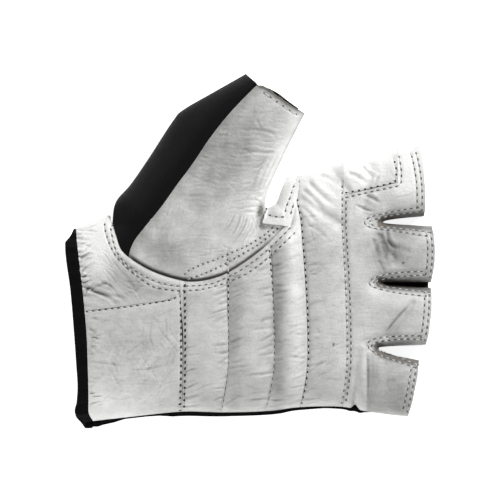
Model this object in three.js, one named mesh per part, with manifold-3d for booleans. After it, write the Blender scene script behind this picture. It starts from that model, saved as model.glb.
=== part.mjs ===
// A left-hand fingerless fitness glove, lying palm up on a flat surface, in millimetres.
// +X runs along the fingers, +Y towards the thumb, +Z up out of the palm. The back of the glove is on z = 0.
import * as THREE from "three";
import Module from "manifold-3d";
import { mergeVertices } from "three/addons/utils/BufferGeometryUtils.js";

const wasm = await Module();
wasm.setup();

// Driving sizes
const LEATHER = 1.6; // goatskin wall with its turned edge
const STRETCH = 1.2; // black stretch fabric wall
const CLEAR = 0.3; // gap that every seam keeps between its two pieces
const SIDE_SEAM = 6; // height of the widest line of the glove above the surface
const FINGER_SEAM = 7; // height of the leather's edge along the finger gaps
const RIB_PAD = 2.6; // foam under the crown of each palm rib
const KNUCKLE_PAD = 1.6; // foam under the crown of the knuckle rib
const LOW_SHOULDER = 20; // how far in from the little-finger side the palm reaches its full height
const HIGH_SHOULDER = 24; // the same from the index side
const CROTCH_SHOULDER = 8; // the same from the hollow between thumb and palm
const PALM_DOME = 1.2; // crown of the palm across the hand
const TAPE_PROUD = 0.4; // the wrist tape stands this far over the panels
const WRAP_ANGLE = (68 * Math.PI) / 180; // how far the leather turns under the index side
const RIM_SHOW = 1.6; // black edge that shows beside the leather on the little-finger side
const CORNER_SHOW = 1.8; // more of it shows at the wrist corner
const CORNER_X = -64;
const BACK_SHORT = 5.0; // the flat back ends this far inside the index side
const WRIST_SHORT = 0.8; // and this much further in at the wrist
const WEB_FOOT = 1.6; // height of the lower edge of the thumb web, tucked in by this much
const WEB_TUCK = 1.2;
const WEB_MIDDLE = new THREE.Vector3(24, 10, 3); // the point that the web's wall is curved round
const FOURCHETTE_SET = 0.3; // the side walls stand this far back from the leather's edge
const FOURCHETTE_ROOT = 8.4; // height of a side wall at the root of its gap
const TAPE_WALL = 2.0; // depth of the wrist tape, inside the panels' outer face
const GATHER = { height: 0.5, pitch: 6.4, reach: 5 }; // elastic gathers at the wrist

// Each station along the hand: little-finger edge, index edge and height of the palm
const HAND = [
  { x: -84, low: -77.0, high: 5.0, crown: 15.5 },
  { x: -68, low: -75.2, high: 13.8, crown: 17.0 },
  { x: -53, low: -73.5, high: 18.0, crown: 18.2 },
  { x: -30, low: -71.2, high: 21.8, crown: 19.2 },
  { x: -10, low: -71.5, high: 24.8, crown: 19.8 },
  { x: 9, low: -70.8, high: 28.6, crown: 20.0 },
  { x: 22, low: -69.2, high: 33.2, crown: 19.6 },
  { x: 40, low: -69.0, high: 38.4, crown: 18.8 },
  { x: 51, low: -71.0, high: 41.2, crown: 17.8 },
  { x: 63, low: -72.6, high: 44.0, crown: 16.6 },
  { x: 80, low: -74.4, high: 47.2, crown: 15.6 },
];

// The wrist opening: outer edge of the tape and the line where the panels begin
const WRIST = [
  { y: -78, edge: -75.6, panels: -70.2 },
  { y: -54, edge: -76.4, panels: -70.9 },
  { y: -37, edge: -77.2, panels: -71.7 },
  { y: -18, edge: -78.8, panels: -73.4 },
  { y: 11, edge: -81.6, panels: -76.9 },
];

// The sewn lines across the palm, from the heel to the knuckles, each at three places along its length
const QUILT_LINES = [
  { name: "heel", bottom: -29.9, middle: -29.3, top: -29.9 },
  { name: "first", bottom: -12.3, middle: -9.4, top: -9.7 },
  { name: "second", bottom: 7.3, middle: 10.7, top: 7.6 },
  { name: "third", bottom: 21.9, middle: 25.3, top: 22.4 },
  { name: "knuckle", bottom: 40.6, middle: 43.4, top: 41.2 },
];
const QUILT_BOTTOM = -70;
const QUILT_MIDDLE = -45;
const QUILT_TOP = 10;

// The gaps between the fingers: where each starts and where its two sides end
const GAPS = [
  { name: "ring_little", x: 56.5, y: -43.0, lowX: 74.4, lowY: -48.4, highX: 77.4, highY: -41.8 },
  { name: "middle_ring", x: 57.5, y: -14.2, lowX: 79.6, lowY: -15.9, highX: 79.6, highY: -12.6 },
  { name: "index_middle", x: 58.5, y: 12.2, lowX: 80.0, lowY: 10.6, highX: 76.6, highY: 14.8 },
];
const FINGERS = [
  { name: "little", lowEnd: 69.5, highEnd: 74.4, bulge: 0.4 },
  { name: "ring", lowEnd: 77.4, highEnd: 79.6, bulge: 0.8 },
  { name: "middle", lowEnd: 79.6, highEnd: 80.0, bulge: 1.2 },
  { name: "index", lowEnd: 76.6, highEnd: 73.4, bulge: 1.6 },
];
const FINGER_SHOULDER = 11;
const PARTING_START = 46; // the palm starts to part into fingers here
const PARTING_END = 64;
const PARTING_SOFT = 5;
const ROOT_SOFT = 1.2; // roundness of the dip at the root of a gap

// The edge of the thumb opening in the palm, from the wrist side round to the root of the thumb
const OPENING_EDGE = [
  [-64.0, 15.4],
  [-61.0, 6.0],
  [-56.3, -0.6],
  [-44.0, -8.8],
  [-30.8, -13.2],
  [-22.0, -13.6],
  [-11.9, -11.0],
  [-2.2, -5.3],
  [7.0, 1.8],
  [12.6, 7.6],
  [17.6, 12.6],
];
const HEEL_SEAM = [
  [-72.5, -26.8],
  [-52.0, -24.2],
  [-34.5, -21.4],
  [-30.6, -18.0],
];
// The hollow between the thumb and the palm, as it is seen from above
const CROTCH = [
  [7.6, 18.2],
  [14.5, 20.2],
  [14.7, 27.3],
  [17.4, 32.2],
];
const WEB_SEAM = [
  [8.4, 15.6],
  [16.9, 13.5],
  [19.5, 24.0],
  [20.0, 31.6],
];
const OVERLAY_SEAM = { leftX: 41.6, leftY: 24.2, rightX: 64.8, rightY: 29.6 };

// The thumb: its two sides from root to tip, its tip and where it starts under the palm
const THUMB_LEFT = [
  [-60.5, 12.0],
  [-59.0, 21.2],
  [-52.2, 29.4],
  [-44.0, 41.4],
  [-33.9, 57.0],
  [-29.4, 61.8],
  [-16.3, 69.4],
  [-1.8, 77.6],
];
const THUMB_RIGHT = [
  [17.0, 10.0],
  [8.2, 15.6],
  [7.4, 24.4],
  [14.6, 41.0],
  [18.9, 49.7],
  [24.2, 60.2],
];
const THUMB_ROOT = [
  [-60.5, 12.0],
  [-60.5, -0.5],
  [-53.2, -6.4],
  [-43.0, -13.2],
  [-30.5, -17.2],
  [-20.5, -17.4],
  [-9.5, -14.6],
  [1.0, -8.6],
  [11.0, -0.6],
  [17.0, 10.0],
];
const THUMB_UNDER_ROOT = [
  [-60.5, 12.0],
  [-20.0, 16.2],
  [17.0, 17.5],
];
// The seam on the thumb between its black back and its white front
const THUMB_SEAM = [
  [-53.2, -6.4],
  [-51.6, -1.5],
  [-45.5, 9.7],
  [-35.4, 23.8],
  [-25.7, 37.8],
  [-16.1, 51.9],
  [-6.5, 62.2],
  [2.6, 74.6],
];
const THUMB = { rootCrown: 17.4, tipCrown: 15.2, seam: 5.5, sink: 2.0, shoulder: 19 };

// Folds pressed into the leather: a ridge if height is positive, a crease if negative
const FOLDS = [
  { name: "little_root", from: [50.6, -42], to: [50.4, -69], width: 1.9, height: 1.5 },
  { name: "little_step", from: [54.2, -44], to: [54.0, -70], width: 2.4, height: -1.7 },
  { name: "ring_crease", from: [60.5, -38], to: [71, -23.5], width: 1.5, height: -1.4 },
  { name: "middle_dent", from: [58, 6.5], to: [63.5, -4.5], width: 3.2, height: -2.3 },
  { name: "index_dent", from: [53, 36], to: [49.5, 18], width: 2.4, height: -1.7 },
  { name: "knuckle_fold", from: [22.5, 22], to: [39, 11.5], width: 2.2, height: -1.3 },
  { name: "index_fold", from: [35.5, 35.5], to: [42.5, 26.5], width: 2.2, height: -1.5 },
  { name: "thumb_root", from: [2, 6], to: [7.5, 17], width: 3.0, height: -2.0 },
];

const clamp01 = (t) => Math.min(1, Math.max(0, t));
const mix = (a, b, t) => a + (b - a) * t;
const smooth = (t) => clamp01(t) ** 2 * (3 - 2 * clamp01(t));
const shoulder = (t) => Math.sqrt(1 - (1 - clamp01(t)) ** 2);

// A column of a table as a smooth function of another column
function column(rows, along, name) {
  return (at) => {
    const last = rows.length - 2;
    let i = 0;
    while (i < last && at > rows[i + 1][along]) i++;
    const [a, b] = [rows[i], rows[i + 1]];
    const [before, after] = [rows[Math.max(i - 1, 0)], rows[Math.min(i + 2, last + 1)]];
    const span = b[along] - a[along];
    const slopeA = ((b[name] - before[name]) / (b[along] - before[along])) * span;
    const slopeB = ((after[name] - a[name]) / (after[along] - a[along])) * span;
    const t = clamp01((at - a[along]) / span);
    const [t2, t3] = [t * t, t * t * t];
    return (
      (2 * t3 - 3 * t2 + 1) * a[name] +
      (t3 - 2 * t2 + t) * slopeA +
      (3 * t2 - 2 * t3) * b[name] +
      (t3 - t2) * slopeB
    );
  };
}

const handLow = column(HAND, "x", "low");
const handHigh = column(HAND, "x", "high");
const handCrown = column(HAND, "x", "crown");
const wristEdge = column(WRIST, "y", "edge");
const wristPanels = column(WRIST, "y", "panels");
const planLine = (points) => new THREE.SplineCurve(points.map(([x, y]) => new THREE.Vector2(x, y)));

function quiltLine(index, y) {
  const line = QUILT_LINES[index];
  const below = (y - QUILT_BOTTOM) / (QUILT_MIDDLE - QUILT_BOTTOM);
  const above = (y - QUILT_MIDDLE) / (QUILT_TOP - QUILT_MIDDLE);
  return y < QUILT_MIDDLE
    ? mix(line.bottom, line.middle, Math.sin((clamp01(below) * Math.PI) / 2))
    : mix(line.middle, line.top, 1 - Math.cos((clamp01(above) * Math.PI) / 2));
}

// The seam between the quilted palm and the knuckle piece, which leans over at the thumb web
const knuckleSeam = (y) => mix(quiltLine(3, y), 20.3, smooth((y - QUILT_TOP) / 14));

// One side of a gap between two fingers; side is 1 for the index side and -1 for the little-finger side
function gapEdge(gap, side, x) {
  const [endX, endY] = side > 0 ? [gap.highX, gap.highY] : [gap.lowX, gap.lowY];
  const t = (x - gap.x) / (endX - gap.x);
  return gap.y + (endY - gap.y) * Math.sqrt(clamp01(t));
}
const fingerLow = (i, x) => (i === 0 ? handLow(x) : gapEdge(GAPS[i - 1], 1, x));
const fingerHigh = (i, x) => (i === GAPS.length ? handHigh(x) : gapEdge(GAPS[i], -1, x));

function segmentDistance(x, y, [ax, ay], [bx, by]) {
  const [dx, dy] = [bx - ax, by - ay];
  const t = clamp01(((x - ax) * dx + (y - ay) * dy) / (dx * dx + dy * dy));
  return Math.hypot(x - ax - t * dx, y - ay - t * dy);
}

function foldRelief(x, y) {
  return FOLDS.reduce(
    (sum, f) => sum + f.height * Math.exp(-((segmentDistance(x, y, f.from, f.to) / f.width) ** 2)),
    0,
  );
}

function crotchFall(x, y) {
  if (y < CROTCH[0][1] - CROTCH_SHOULDER * 1.5) return 1;
  const distances = CROTCH.slice(1).map((end, i) => segmentDistance(x, y, CROTCH[i], end));
  return shoulder(Math.min(...distances) / CROTCH_SHOULDER);
}

// Distance from a gap between two fingers, rounded off where the leather is still in one piece
function softened(distance, gap, x) {
  if (!gap) return distance;
  const before = PARTING_SOFT * (1 - smooth((x - PARTING_START) / (gap.x - PARTING_START)));
  const soft = x < gap.x ? Math.max(before, ROOT_SOFT) : ROOT_SOFT * (1 - smooth((x - gap.x) / 3));
  return Math.hypot(Math.max(distance, 0), soft);
}

// Height of the outer face of the palm side over any point of the hand, without its pads
function palmHeight(x, y) {
  const [low, high, crown] = [handLow(x), handHigh(x), handCrown(x)];
  const across = (2 * (y - low)) / (high - low) - 1;
  const rise = shoulder((y - low) / LOW_SHOULDER) * shoulder((high - y) / HIGH_SHOULDER);
  const dome = PALM_DOME * (1 - Math.min(1, across * across));
  const palm = SIDE_SEAM + (crown - SIDE_SEAM + dome) * rise * crotchFall(x, y);
  const parting = smooth((x - PARTING_START) / (PARTING_END - PARTING_START));
  if (parting === 0) return palm + foldRelief(x, y) * rise;
  const i = GAPS.filter((gap) => y > gap.y).length;
  const from = shoulder(softened(y - fingerLow(i, x), GAPS[i - 1], x) / FINGER_SHOULDER);
  const to = shoulder(softened(fingerHigh(i, x) - y, GAPS[i], x) / FINGER_SHOULDER);
  const arch = from * to;
  const finger = FINGER_SEAM + (crown - FINGER_SEAM) * arch;
  return mix(palm, finger, parting) + foldRelief(x, y) * mix(rise, arch, parting);
}

// The leather turned under the index side: turn is the angle past the widest line
function turnedUnder(x, high, turn) {
  return new THREE.Vector3(
    x,
    high - SIDE_SEAM * (1 - Math.cos(turn)),
    SIDE_SEAM * (1 - Math.sin(turn)),
  );
}

// The point a wall's thickness behind a face, square to it
const behind = (face, wall) => (u, v) => {
  const step = 1e-3;
  const [u0, u1] = [Math.max(0, u - step), Math.min(1, u + step)];
  const [v0, v1] = [Math.max(0, v - step), Math.min(1, v + step)];
  const along = face(u1, v).sub(face(u0, v));
  const normal = along.cross(face(u, v1).sub(face(u, v0))).normalize();
  return face(u, v).addScaledVector(normal, -wall);
};

// A curved wall: a box's grid with its outer face on outer(u, v) and its inner face on inner(u, v)
function curvedWall(outer, inner, across, up) {
  const box = new THREE.BoxGeometry(1, 1, 1, across, up, 1);
  const points = box.getAttribute("position");
  for (let i = 0; i < points.count; i++) {
    const face = points.getZ(i) < 0 ? inner : outer;
    const point = face(points.getX(i) + 0.5, points.getY(i) + 0.5);
    points.setXYZ(i, point.x, point.y, point.z);
  }
  return box;
}

function solid(geometry) {
  const bare = geometry.clone();
  bare.deleteAttribute("normal");
  bare.deleteAttribute("uv");
  const merged = mergeVertices(bare, 1e-4);
  const vertProperties = new Float32Array(merged.getAttribute("position").array);
  const triVerts = new Uint32Array(merged.index.array);
  return new wasm.Manifold(new wasm.Mesh({ numProp: 3, vertProperties, triVerts }));
}

function fused(geometries) {
  const whole = geometries.map(solid).reduce((sum, next) => sum.add(next));
  // Hair-fine voids between two overlapping walls are closed by keeping the outer shell alone
  const outer = whole.decompose().reduce((a, b) => (b.volume() > a.volume() ? b : a));
  const mesh = outer.getMesh();
  const geometry = new THREE.BufferGeometry();
  geometry.setAttribute("position", new THREE.BufferAttribute(mesh.vertProperties, 3));
  geometry.setIndex(new THREE.BufferAttribute(mesh.triVerts, 1));
  geometry.computeVertexNormals();
  return geometry;
}

// A four-sided patch between a bottom, a top, a left and a right line, as a point seen from above
function patch(bottom, top, left, right) {
  const [b0, b1, t0, t1] = [bottom(0), bottom(1), top(0), top(1)];
  const blend = (axis, u, v) =>
    mix(bottom(u)[axis], top(u)[axis], v) +
    mix(left(v)[axis], right(v)[axis], u) -
    mix(mix(b0[axis], b1[axis], u), mix(t0[axis], t1[axis], u), v);
  return (u, v) => [blend("x", u, v), blend("y", u, v)];
}
const straight = (a, b) => (t) => new THREE.Vector2(mix(a.x, b.x, t), mix(a.y, b.y, t));

const whiteLeather = new THREE.MeshStandardMaterial({ color: 0xdfe0de, roughness: 0.55, metalness: 0 });
const blackStretch = new THREE.MeshStandardMaterial({ color: 0x16171a, roughness: 0.85, metalness: 0 });
const blackTape = new THREE.MeshStandardMaterial({ color: 0x0b0b0c, roughness: 0.8, metalness: 0 });
const glove = new THREE.Group();

function piece(name, geometry, material) {
  const mesh = new THREE.Mesh(geometry, material);
  mesh.name = name;
  glove.add(mesh);
}

const clampBetween = (value, low, high) => Math.min(high, Math.max(low, value));
// Rows crowd towards an edge where the wall turns steeply down
const crowdLow = (v) => v * v * (2 - v);
const crowdHigh = (v) => 1 - (1 - v) ** 2;
const onPalm = (x, y) => new THREE.Vector3(x, y, palmHeight(x, clampBetween(y, handLow(x), handHigh(x))));

// Where a line across the hand, given as x for each y, meets the little-finger edge
function lowEnd(line) {
  let y = QUILT_BOTTOM;
  for (let i = 0; i < 4; i++) y = handLow(line(y));
  return y + 0.002;
}

// Heel of the palm, from the wrist tape to the first sewn line
function heelPanel() {
  const seam = planLine(HEEL_SEAM);
  const place = (u, v) => {
    const top = seam.getPoint(u);
    const across = (at) => mix(wristPanels(at), quiltLine(0, at) - CLEAR, u);
    const y = mix(lowEnd(across), top.y - CLEAR / 2, crowdLow(v));
    return onPalm(across(y) + (top.x - across(top.y)) * smooth((v - 0.5) / 0.5), y);
  };
  return curvedWall(place, behind(place, LEATHER), 12, 13);
}

// The piece between the wrist, the heel seam and the thumb opening, gathered at the wrist.
// It turns under the index side.
function wristGusset() {
  const seam = planLine(HEEL_SEAM);
  const edge = planLine(OPENING_EDGE);
  const corner = 0.3; // share of its width that lies on the index side
  const openingShare = 0.4; // share of the thumb opening that it borders
  const flat = 0.8; // share of its height before it turns under
  const wristX = wristPanels(9.4);
  const wristTop = new THREE.Vector2(wristX, handHigh(wristX));
  const outline = (u) =>
    u < corner
      ? straight(wristTop, edge.getPoint(0))(u / corner)
      : edge.getPoint(((u - corner) / (1 - corner)) * openingShare);
  const bottom = (u) => seam.getPoint(u).add(new THREE.Vector2(0, CLEAR / 2));
  const left = (v) => {
    const y = mix(bottom(0).y, wristTop.y, v);
    return new THREE.Vector2(wristPanels(y), y);
  };
  const plan = patch(bottom, outline, left, straight(bottom(1), outline(1)));
  const place = (u, v) => {
    const onSide = 1 - smooth((u - corner + 0.06) / 0.1);
    const share = Math.min(1, v / flat);
    const [planX, y] = plan(u, mix(share, crowdHigh(share), onSide));
    const x = planX - CLEAR * u;
    const gather = GATHER.height * Math.cos((y * 2 * Math.PI) / GATHER.pitch);
    const point = onPalm(x, y);
    point.z += gather * Math.exp(-(x - wristPanels(y)) / GATHER.reach) * (1 - share ** 4);
    if (v <= flat) return point;
    const under = turnedUnder(x, y, ((v - flat) / (1 - flat)) * WRAP_ANGLE * onSide);
    under.x += (wristPanels(under.y) - wristPanels(y) + CLEAR * 2) * (1 - u) ** 2;
    return under.setZ(under.z + point.z - SIDE_SEAM);
  };
  return curvedWall(place, behind(place, LEATHER), 13, 15);
}

// Quilted palm: three padded ribs between four sewn lines, cut away round the thumb opening
function quiltedPalm() {
  const edge = planLine(OPENING_EDGE);
  const ribs = QUILT_LINES.length - 2;
  const openingFrom = 0.4;
  const webFrom = 0.93; // share of its width where the opening's edge meets the thumb web
  const webTop = new THREE.Vector2(knuckleSeam(23.4) - CLEAR / 2, 23.4);
  const topLine = (u) =>
    u < webFrom
      ? edge.getPoint(mix(openingFrom, 1, u / webFrom))
      : straight(edge.getPoint(1), webTop)((u - webFrom) / (1 - webFrom));
  const base = (u, v) => {
    const top = topLine(u);
    const rib = Math.min(ribs - 1, Math.floor(u * ribs));
    const right = (y) => (rib === ribs - 1 ? knuckleSeam(y) : quiltLine(rib + 1, y));
    const lineAt = (y) => mix(quiltLine(rib, y), right(y), u * ribs - rib) + CLEAR * (0.5 - u);
    const y = mix(lowEnd(lineAt), top.y - CLEAR, crowdLow(v));
    return onPalm(lineAt(y) + (top.x - lineAt(top.y)) * smooth((v - 0.6) / 0.4), y);
  };
  const place = (u, v) => {
    const point = base(u, v);
    const crown = Math.abs(Math.sin(Math.PI * u * ribs)) ** 0.7;
    point.z += RIB_PAD * crown * smooth(v / 0.12) * smooth((1 - v) / 0.08);
    return point;
  };
  return curvedWall(place, behind(base, LEATHER), 24, 13);
}

// Knuckle piece: a padded rib across the hand that runs on beside the finger overlay to the index finger
function knucklePanel() {
  const stripFlat = 0.86;
  const strip = (u, v) => {
    const share = Math.min(1, v / stripFlat);
    const across = (at) => mix(knuckleSeam(at) + CLEAR / 2, quiltLine(4, at) - CLEAR / 2, u);
    const high = handHigh(across(handHigh(across(QUILT_TOP))));
    const y = mix(lowEnd(across), high, smooth(share));
    const x = across(y);
    const turn = ((v - stripFlat) / (1 - stripFlat)) * WRAP_ANGLE;
    return v > stripFlat ? turnedUnder(x, high, turn) : onPalm(x, y);
  };
  const padded = (u, v) => {
    const point = strip(u, v);
    const share = v / stripFlat;
    point.z += KNUCKLE_PAD * Math.sin(Math.PI * u) * smooth(share / 0.1) * smooth((1 - share) / 0.35);
    return point;
  };
  const armFlat = 0.7;
  const { leftX, leftY, rightX, rightY } = OVERLAY_SEAM;
  const arm = (u, v) => {
    const share = Math.min(1, v / armFlat);
    const x = mix(leftX - 1, rightX - CLEAR, u);
    const seamY = mix(leftY, rightY, (x - leftX) / (rightX - leftX)) + CLEAR;
    const high = handHigh(x);
    return v > armFlat
      ? turnedUnder(x, high, ((v - armFlat) / (1 - armFlat)) * WRAP_ANGLE)
      : onPalm(x, mix(seamY, high, crowdHigh(share)));
  };
  return fused([
    curvedWall(padded, behind(strip, LEATHER), 7, 20),
    curvedWall(arm, behind(arm, LEATHER), 8, 8),
  ]);
}

// The leather overlay that forms the fronts of the four fingers, one piece with three gaps.
// The index finger's end turns under the side of the glove.
function fingerFronts() {
  const overlap = 0.5;
  const { leftX, leftY, rightX, rightY } = OVERLAY_SEAM;
  const index = GAPS.length;
  const spread = (gap, x) => (gap ? overlap * smooth((gap.x - 1 - x) / 1.5) : 0);
  const endOf = ({ lowEnd: low, highEnd: high, bulge }, share) =>
    mix(low, high, share) + bulge * 4 * share * (1 - share);
  const fronts = FINGERS.map((finger, i) => (u, v) => {
    const share = smooth(v);
    const nearY = mix(fingerLow(i, leftX), fingerHigh(i, leftX), share);
    const start = quiltLine(4, Math.min(nearY, QUILT_TOP)) + CLEAR / 2;
    const x = mix(start, i === index ? rightX + overlap : endOf(finger, share), u);
    const seamY = mix(leftY, rightY, (x - leftX) / (rightX - leftX)) - CLEAR;
    const high = i === index ? seamY : fingerHigh(i, x) + spread(GAPS[i], x);
    return onPalm(x, mix(fingerLow(i, x) - spread(GAPS[i - 1], x), high, share));
  });
  const flat = 0.74;
  const indexEnd = (u, v) => {
    const share = smooth(v / flat);
    const x = mix(rightX + CLEAR / 2, endOf(FINGERS[index], share), u);
    return v > flat
      ? turnedUnder(x, handHigh(x), ((v - flat) / (1 - flat)) * WRAP_ANGLE)
      : onPalm(x, mix(fingerLow(index, x), handHigh(x), share));
  };
  return fused([
    ...fronts.map((front, i) => curvedWall(front, behind(front, LEATHER), i === index ? 6 : 10, 9)),
    curvedWall(indexEnd, behind(indexEnd, LEATHER), 3, 11),
  ]);
}

// The web between thumb and index finger, a narrow piece bent down into the crotch
function thumbWeb() {
  const outer = planLine(CROTCH);
  const inner = planLine(WEB_SEAM);
  const flat = 0.6;
  const place = (u, v) => {
    const [a, b] = [outer.getPoint(u), inner.getPoint(u)];
    const share = crowdHigh(Math.min(1, v / flat));
    const point = onPalm(mix(b.x, a.x, share), mix(b.y, a.y, share));
    const down = clamp01((v - flat) / (1 - flat));
    const inward = b.sub(a).setLength(WEB_TUCK * down ** 2);
    return point.add(new THREE.Vector3(inward.x, inward.y, (WEB_FOOT - point.z) * down));
  };
  const lined = (u, v) => {
    const point = place(u, v);
    return point.add(WEB_MIDDLE.clone().sub(point).setLength(LEATHER));
  };
  return curvedWall(place, lined, 8, 7);
}

const lineDistance = (line, x, y) =>
  Math.min(...line.slice(1).map((end, i) => segmentDistance(x, y, line[i], end)));

// Height of the upper face of the thumb: under the palm at its root, its own arch further out
function thumbHeight(x, y) {
  const [rootX, rootY] = [-22, -2];
  const [tipX, tipY] = [11, 69];
  const length = Math.hypot(tipX - rootX, tipY - rootY);
  const along = ((x - rootX) * (tipX - rootX) + (y - rootY) * (tipY - rootY)) / length ** 2;
  const crown = mix(THUMB.rootCrown, THUMB.tipCrown, smooth(along));
  const left = shoulder(lineDistance(leftTrace, x, y) / THUMB.shoulder);
  const right = shoulder(lineDistance(THUMB_RIGHT, x, y) / THUMB.shoulder);
  const arch = THUMB.seam + (crown - THUMB.seam) * left * right;
  const underPalm = onPalm(x, y).z - THUMB.sink;
  return mix(underPalm, arch, smooth((lineDistance(THUMB_ROOT, x, y) - 3.5) / 11));
}

// Round the edge and under the thumb from its side line: turn is the angle past the widest line
function thumbUnder(edge, inside, turn) {
  const inward = new THREE.Vector2(inside.x - edge.x, inside.y - edge.y).normalize();
  const reach = THUMB.seam * (1 - Math.cos(turn));
  const z = THUMB.seam * (1 - Math.sin(turn));
  return new THREE.Vector3(edge.x + inward.x * reach, edge.y + inward.y * reach, z);
}

const thumbLeft = planLine(THUMB_LEFT);
const thumbRight = planLine(THUMB_RIGHT);
const thumbSeam = planLine(THUMB_SEAM);
const thumbRoot = planLine(THUMB_ROOT);
const thumbUnderRoot = planLine(THUMB_UNDER_ROOT);
const leftTrace = thumbLeft.getPoints(60).map(({ x, y }) => [x, y]);
const seamOnRoot = THUMB_ROOT.findIndex(([x]) => x === THUMB_SEAM[0][0]) / (THUMB_ROOT.length - 1);

// White leather front of the thumb, from the seam over to the side by the palm and under it
function thumbFront() {
  const flat = 0.84;
  const rootLine = (t) => thumbRoot.getPoint(mix(1, seamOnRoot, t));
  const tipLine = straight(thumbRight.getPoint(1), thumbSeam.getPoint(1));
  const plan = patch((u) => thumbRight.getPoint(u), (u) => thumbSeam.getPoint(u), rootLine, tipLine);
  const place = (u, v) => {
    const share = clamp01((v - 1 + flat) / flat);
    const [x, y] = plan(u, share ** 1.6);
    if (v >= 1 - flat) return new THREE.Vector3(x, y, thumbHeight(x, y));
    const turn = (1 - v / (1 - flat)) * WRAP_ANGLE * smooth((u - 0.15) / 0.15);
    const [inX, inY] = plan(u, 0.2);
    const under = thumbUnder({ x, y }, { x: inX, y: inY }, turn);
    return under.setZ(under.z + thumbHeight(x, y) - THUMB.seam);
  };
  return curvedWall(place, behind(place, LEATHER), 14, 13);
}

// Black stretch back of the thumb: the stripe on top, its outer side and its underside
function thumbBack() {
  const topShare = 0.4;
  const rimShare = 0.65;
  const rootLine = (t) => thumbRoot.getPoint(mix(0, seamOnRoot, t));
  const tipLine = straight(thumbLeft.getPoint(1), thumbSeam.getPoint(1));
  const top = patch((u) => thumbLeft.getPoint(u), (u) => thumbSeam.getPoint(u), rootLine, tipLine);
  const underTip = straight(thumbLeft.getPoint(1), thumbRight.getPoint(1));
  const under = patch(
    (u) => thumbLeft.getPoint(u),
    (u) => thumbRight.getPoint(u),
    (t) => thumbUnderRoot.getPoint(t),
    underTip,
  );
  const underSpan = { from: 0.125, to: 0.865 }; // share of the underside's width that is flat and black
  const place = (u, v) => {
    if (v < topShare) {
      const share = 1 - v / topShare;
      const [x, y] = top(u, share ** 1.6 * 0.98);
      return new THREE.Vector3(x, y, thumbHeight(x, y));
    }
    const edge = thumbLeft.getPoint(u);
    const [inX, inY] = under(u, 0.3);
    if (v < rimShare) {
      const turn = ((v - topShare) / (rimShare - topShare)) * (Math.PI / 2);
      const point = thumbUnder(edge, { x: inX, y: inY }, turn);
      const lift = thumbHeight(edge.x, edge.y) - THUMB.seam;
      return point.setZ(point.z + lift * Math.cos(turn));
    }
    const across = (v - rimShare) / (1 - rimShare);
    const start = thumbUnder(edge, { x: inX, y: inY }, Math.PI / 2);
    const [fromX, fromY] = under(u, underSpan.from);
    const [x, y] = under(u, mix(underSpan.from, underSpan.to, across));
    return new THREE.Vector3(x + (start.x - fromX) * (1 - across), y + (start.y - fromY) * (1 - across), 0);
  };
  return curvedWall(place, behind(place, STRETCH), 14, 16);
}

// How far the black rim stands out beside the leather on the little-finger side
const rimShow = (x) => RIM_SHOW + CORNER_SHOW * Math.exp(-(((x - CORNER_X) / 7) ** 2));

function rimPoint(x, turn) {
  const edge = handLow(x) - rimShow(x);
  const height = palmHeight(x, handLow(x));
  return new THREE.Vector3(x, edge + SIDE_SEAM * (1 - Math.cos(turn)), height * (1 - Math.sin(turn)));
}

// Where the back of the hand ends on the thumb side: short of the turned leather, or at the thumb's back
function backHigh(x) {
  const [thumbStart, thumbEnd] = [THUMB_UNDER_ROOT[0][0], THUMB_UNDER_ROOT[2][0]];
  const turned = handHigh(x) - BACK_SHORT - WRIST_SHORT * (1 - smooth((x + 76) / 12));
  const along = clamp01((x - thumbStart) / (thumbEnd - thumbStart));
  const thumbLine = thumbUnderRoot.getPoint(along).y - CLEAR * 2;
  if (x < thumbStart) return Math.min(turned, thumbLine);
  return mix(thumbLine, turned, smooth((x - thumbEnd - 0.5) / 2));
}

// Black stretch back of the hand and fingers, flat where it lies on the surface
function backPanel() {
  const rimShare = 0.4;
  const columns = [-70, -64, -58, -46, -34, -22, -10, 2, 12, 17.2, 19.6, 26, 36, 46, 55.6];
  const stationAt = (u) => {
    const at = u * (columns.length - 1);
    const i = Math.min(columns.length - 2, Math.floor(at));
    return mix(columns[i], columns[i + 1], at - i);
  };
  const flatShare = 1 - rimShare;
  const rimTurn = (v) => (Math.PI / 2) * (1 - (v - flatShare) / rimShare);
  const hand = (u, v) => {
    const station = stationAt(u);
    const startAt = (y) => station + (wristPanels(y) - columns[0]) * (1 - smooth(u * 5));
    if (v > flatShare) return rimPoint(startAt(rimPoint(station, rimTurn(v)).y), rimTurn(v));
    const high = backHigh(startAt(backHigh(station)));
    const y = mix(high, rimPoint(station, Math.PI / 2).y, v / flatShare);
    return new THREE.Vector3(startAt(y), y, 0);
  };
  const littleRim = (u, v) => {
    const x = mix(54, FINGERS[0].lowEnd, u);
    if (v > flatShare) return rimPoint(x, rimTurn(v));
    return new THREE.Vector3(x, rimPoint(x, Math.PI / 2).y + 8 * (1 - v / flatShare), 0);
  };
  const fingers = FINGERS.map((finger, i) => {
    const outline = new THREE.Shape();
    const [rootX, steps] = [54, 6];
    const low = (x) => (i === 0 ? handLow(x) + SIDE_SEAM : fingerLow(i, x) + FOURCHETTE_SET);
    const high = (x) => (i === GAPS.length ? handHigh(x) - BACK_SHORT : fingerHigh(i, x) - FOURCHETTE_SET);
    const rows = Array.from({ length: steps + 1 }, (_, k) => (k / steps) ** 0.8);
    outline.setFromPoints([
      ...rows.map((t) => mix(rootX, finger.lowEnd, t)).map((x) => new THREE.Vector2(x, low(x))),
      ...rows.reverse().map((t) => mix(rootX, finger.highEnd, t)).map((x) => new THREE.Vector2(x, high(x))),
    ]);
    return new THREE.ExtrudeGeometry(outline, { depth: STRETCH, bevelEnabled: false });
  });
  return fused([
    curvedWall(hand, behind(hand, STRETCH), columns.length - 1, 10),
    curvedWall(littleRim, behind(littleRim, STRETCH), 4, 7),
    ...fingers,
  ]);
}

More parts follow.
